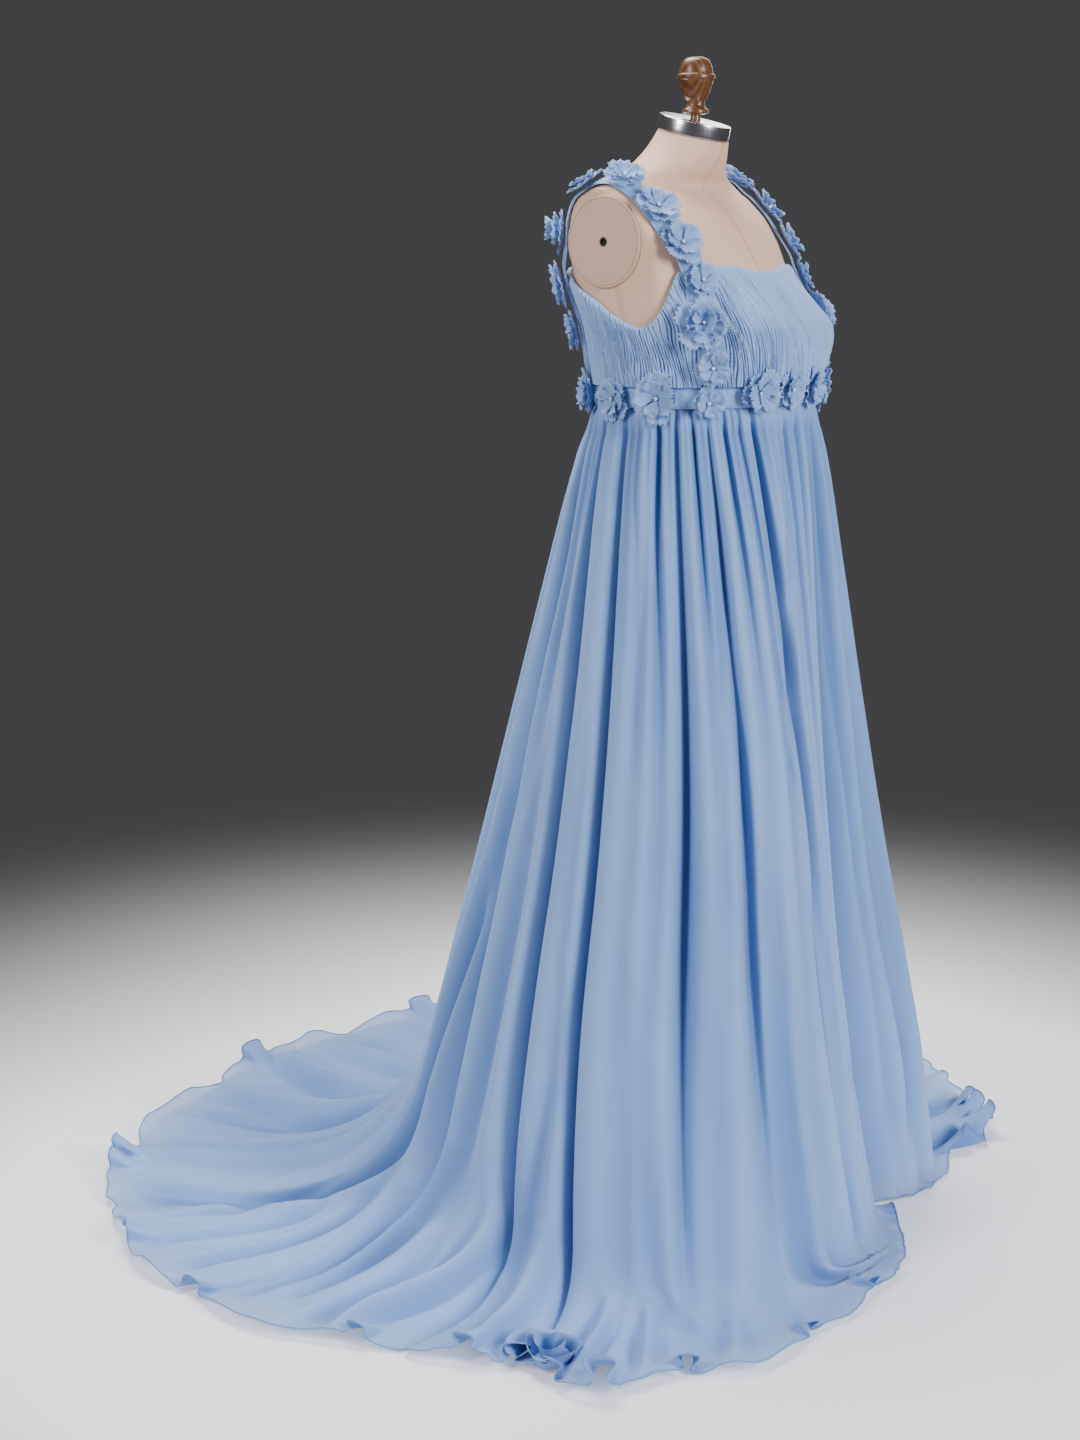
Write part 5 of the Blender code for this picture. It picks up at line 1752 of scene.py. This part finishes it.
@dataclass
class BandFlowers:
    """The flowers sewn round the waistband, tilted half as much as the bodice above them."""

    body: Body
    flowers: Flowers
    # Round the waistband: the angle, how far above its middle, how far out, radius, turn, layers.
    sewn: tuple[tuple[float, ...], ...] = (
        (-151, 0.001, 0.0015, 0.024, 8, 2), (-128, 0.005, 0.0080, 0.023, 12, 2),
        (-103, -0.002, 0.0015, 0.025, 40, 2), (-80, 0.000, 0.0015, 0.027, 65, 2),
        (-57, -0.006, 0.0015, 0.020, 20, 2), (-33, 0.006, 0.0040, 0.026, 50, 2),
        (-10, 0.007, 0.0015, 0.023, 5, 2), (13, 0.006, 0.0015, 0.024, 33, 2),
        (35, 0.005, 0.0015, 0.025, 58, 2), (57, -0.006, 0.0015, 0.020, 22, 3),
        (80, 0.000, 0.0015, 0.026, 47, 2), (104, -0.001, 0.0015, 0.025, 8, 2),
        (128, 0.004, 0.0080, 0.023, 30, 2), (150, 0.000, 0.0015, 0.024, 61, 2),
        (170, 0.003, 0.0015, 0.022, 15, 2), (189, -0.001, 0.0015, 0.022, 44, 2),
    )

    def build(self, bands: dict[str, Piece]) -> None:
        """Args:
            bands: the halves of the waistband by name.
        """
        body = self.body
        sewn: dict[str, list[Piece]] = {name: [] for name in bands}
        for index, (angle, above, out, radius, turn, layers) in enumerate(self.sewn):
            where = np.array([angle - 0.5, angle, angle + 0.5])
            share = 0.5 + above / (body.band_high - body.band_low)
            line = body.band(where, share, body.ease + body.band_wall + out)
            over = body.points(where[1], line[1][2] + radius, body.ease + body.band_wall + out)
            upright = (over - line[1] + (0.0, 0.0, radius)) / 2
            facing = np.cross(line[2] - line[0], upright)
            half = "front" if abs(float(wrapped(angle))) < 90 else "back"
            sewn[half].append(self.flowers.add(
                f"petals_band_{index + 1:02d}", f"band_flower_{index + 1:02d}", line[1], facing, upright,
                radius, turn, int(layers),
            ))
        for name, band in bands.items():
            middle = 0.0 if name == "front" else 180.0
            line = body.band(np.linspace(-90.0, 90.0, 200) + middle, 0.5, 0.005)


# ---- studio ----------------------------------------------------------------------------------


@dataclass
class Studio:
    """The pale floor with its painted pool of light, soft lights and the camera at the photograph's angle.
    """

    focal: float = 2320.0 / 1440.0 * 36.0
    distance: float = 3.1
    eye: float = 1.357
    pitch: float = 12.0
    bearing: float = 56.0
    aside: float = 0.2012
    floor_half: float = 40.0
    floor_near: float = 1.58
    floor_fade: float = 0.60
    floor_pale: Colour = (0.97, 0.97, 0.985)
    # The glow painted on the floor under the dress.
    floor_painted_glow: Colour = (0.21, 0.21, 0.21)
    backdrop: Colour = (0.060, 0.060, 0.064)
    # Soft lights: name, place, aim, width and height, power and colour.
    lights: tuple[tuple[object, ...], ...] = (
        ("key", (-3.3, 1.0, 2.5), (0.0, 0.0, 0.8), (0.9, 2.0), 94.0, (1.0, 0.99, 0.98)),
        ("fill", (-0.7, -3.8, 2.2), (0.0, 0.0, 0.9), (1.2, 2.0), 196.0, (0.96, 0.98, 1.0)),
        ("rim", (3.0, 1.0, 2.4), (0.0, 0.0, 0.8), (1.2, 2.2), 32.0, (0.98, 0.99, 1.0)),
        ("top", (0.2, 0.9, 3.2), (0.0, 0.2, 0.0), (1.6, 1.6), 100.0, (1.0, 1.0, 1.0)),
    )

    def build(self) -> None:
        """Sets up the floor, the world, the lights and the camera."""
        self._camera()
        self._floor()
        for name, place, aim, size, power, colour in self.lights:
            lamp = bpy.data.lights.new(name, "AREA")
            lamp.shape, lamp.size, lamp.size_y = "RECTANGLE", *size
            lamp.energy, lamp.color = power, colour
            light = bpy.data.objects.new(name, lamp)
            light.location = place
            light.rotation_euler = (Vector(aim) - Vector(place)).to_track_quat("-Z", "Y").to_euler()
            bpy.context.scene.collection.objects.link(light)
        world = bpy.data.worlds.new("studio")
        world.use_nodes = True
        back = world.node_tree.nodes["Background"]
        back.inputs["Color"].default_value = (*self.backdrop, 1.0)
        back.inputs["Strength"].default_value = 1.0
        bpy.context.scene.world = world

    def _camera(self) -> None:
        """A camera that looks down by `pitch`, towards the bearing, past the dress's axis."""
        bearing, pitch = np.radians(self.bearing), np.radians(self.pitch)
        right = Vector((np.cos(bearing), -np.sin(bearing), 0.0))
        away = Vector((np.sin(bearing), np.cos(bearing), 0.0))
        ahead = away * np.cos(pitch) - Vector((0.0, 0.0, np.sin(pitch)))
        turn = Matrix((right, right.cross(ahead), -ahead)).transposed().to_4x4()
        turn.translation = -away * self.distance - right * self.aside + Vector((0.0, 0.0, self.eye))
        lens = bpy.data.cameras.new("camera")
        lens.lens, lens.sensor_width = self.focal, 36.0
        camera = bpy.data.objects.new("camera", lens)
        camera.matrix_world = turn
        bpy.context.scene.collection.objects.link(camera)
        bpy.context.scene.camera = camera

    def _floor(self) -> None:
        """A wide floor with a painted pool of light: pale and glowing under the dress, it fades into the
        backdrop away from it.

        The pale share is the cube of a straight fade with the distance from the pole.
        """
        half = self.floor_half
        mesh = bpy.data.meshes.new("floor")
        corners = [(-half, -half, 0), (half, -half, 0), (half, half, 0), (-half, half, 0)]
        mesh.from_pydata(corners, [], [(0, 1, 2, 3)])
        graph = Graph("floor")
        away = graph.add("ShaderNodeVectorMath", {"operation": "LENGTH"}, {0: graph.place()}, "Value")
        near = (self.floor_near - away * self.floor_fade).clamped()
        near = near * near * near
        # Painted light: the floor is pale and glows by itself under the dress, and darkens into the
        # backdrop away from it.
        graph.set(
            Base_Color=graph.mix(near, (0.0, 0.0, 0.0), self.floor_pale),
            Roughness=0.9,
            Specular_IOR_Level=0.0,
            Emission_Color=graph.mix(near, self.backdrop, self.floor_painted_glow),
            Emission_Strength=1.0,
        )
        mesh.materials.append(graph.material)
        floor = bpy.data.objects.new("floor", mesh)
        bpy.context.scene.collection.objects.link(floor)


def main() -> None:
    """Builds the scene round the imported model."""
    logging.basicConfig(level=logging.INFO, format="%(message)s")
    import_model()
    body = Body()
    Studio().build()
    DressForm(body).build()
    Bodice(body).build()
    bands = Waistband(body).build()
    Skirt(body).build()
    flowers = Flowers()
    Straps(body, flowers).build()
    BandFlowers(body, flowers).build(bands)
    flowers.pearls()


if __name__ == "__main__":
    main()
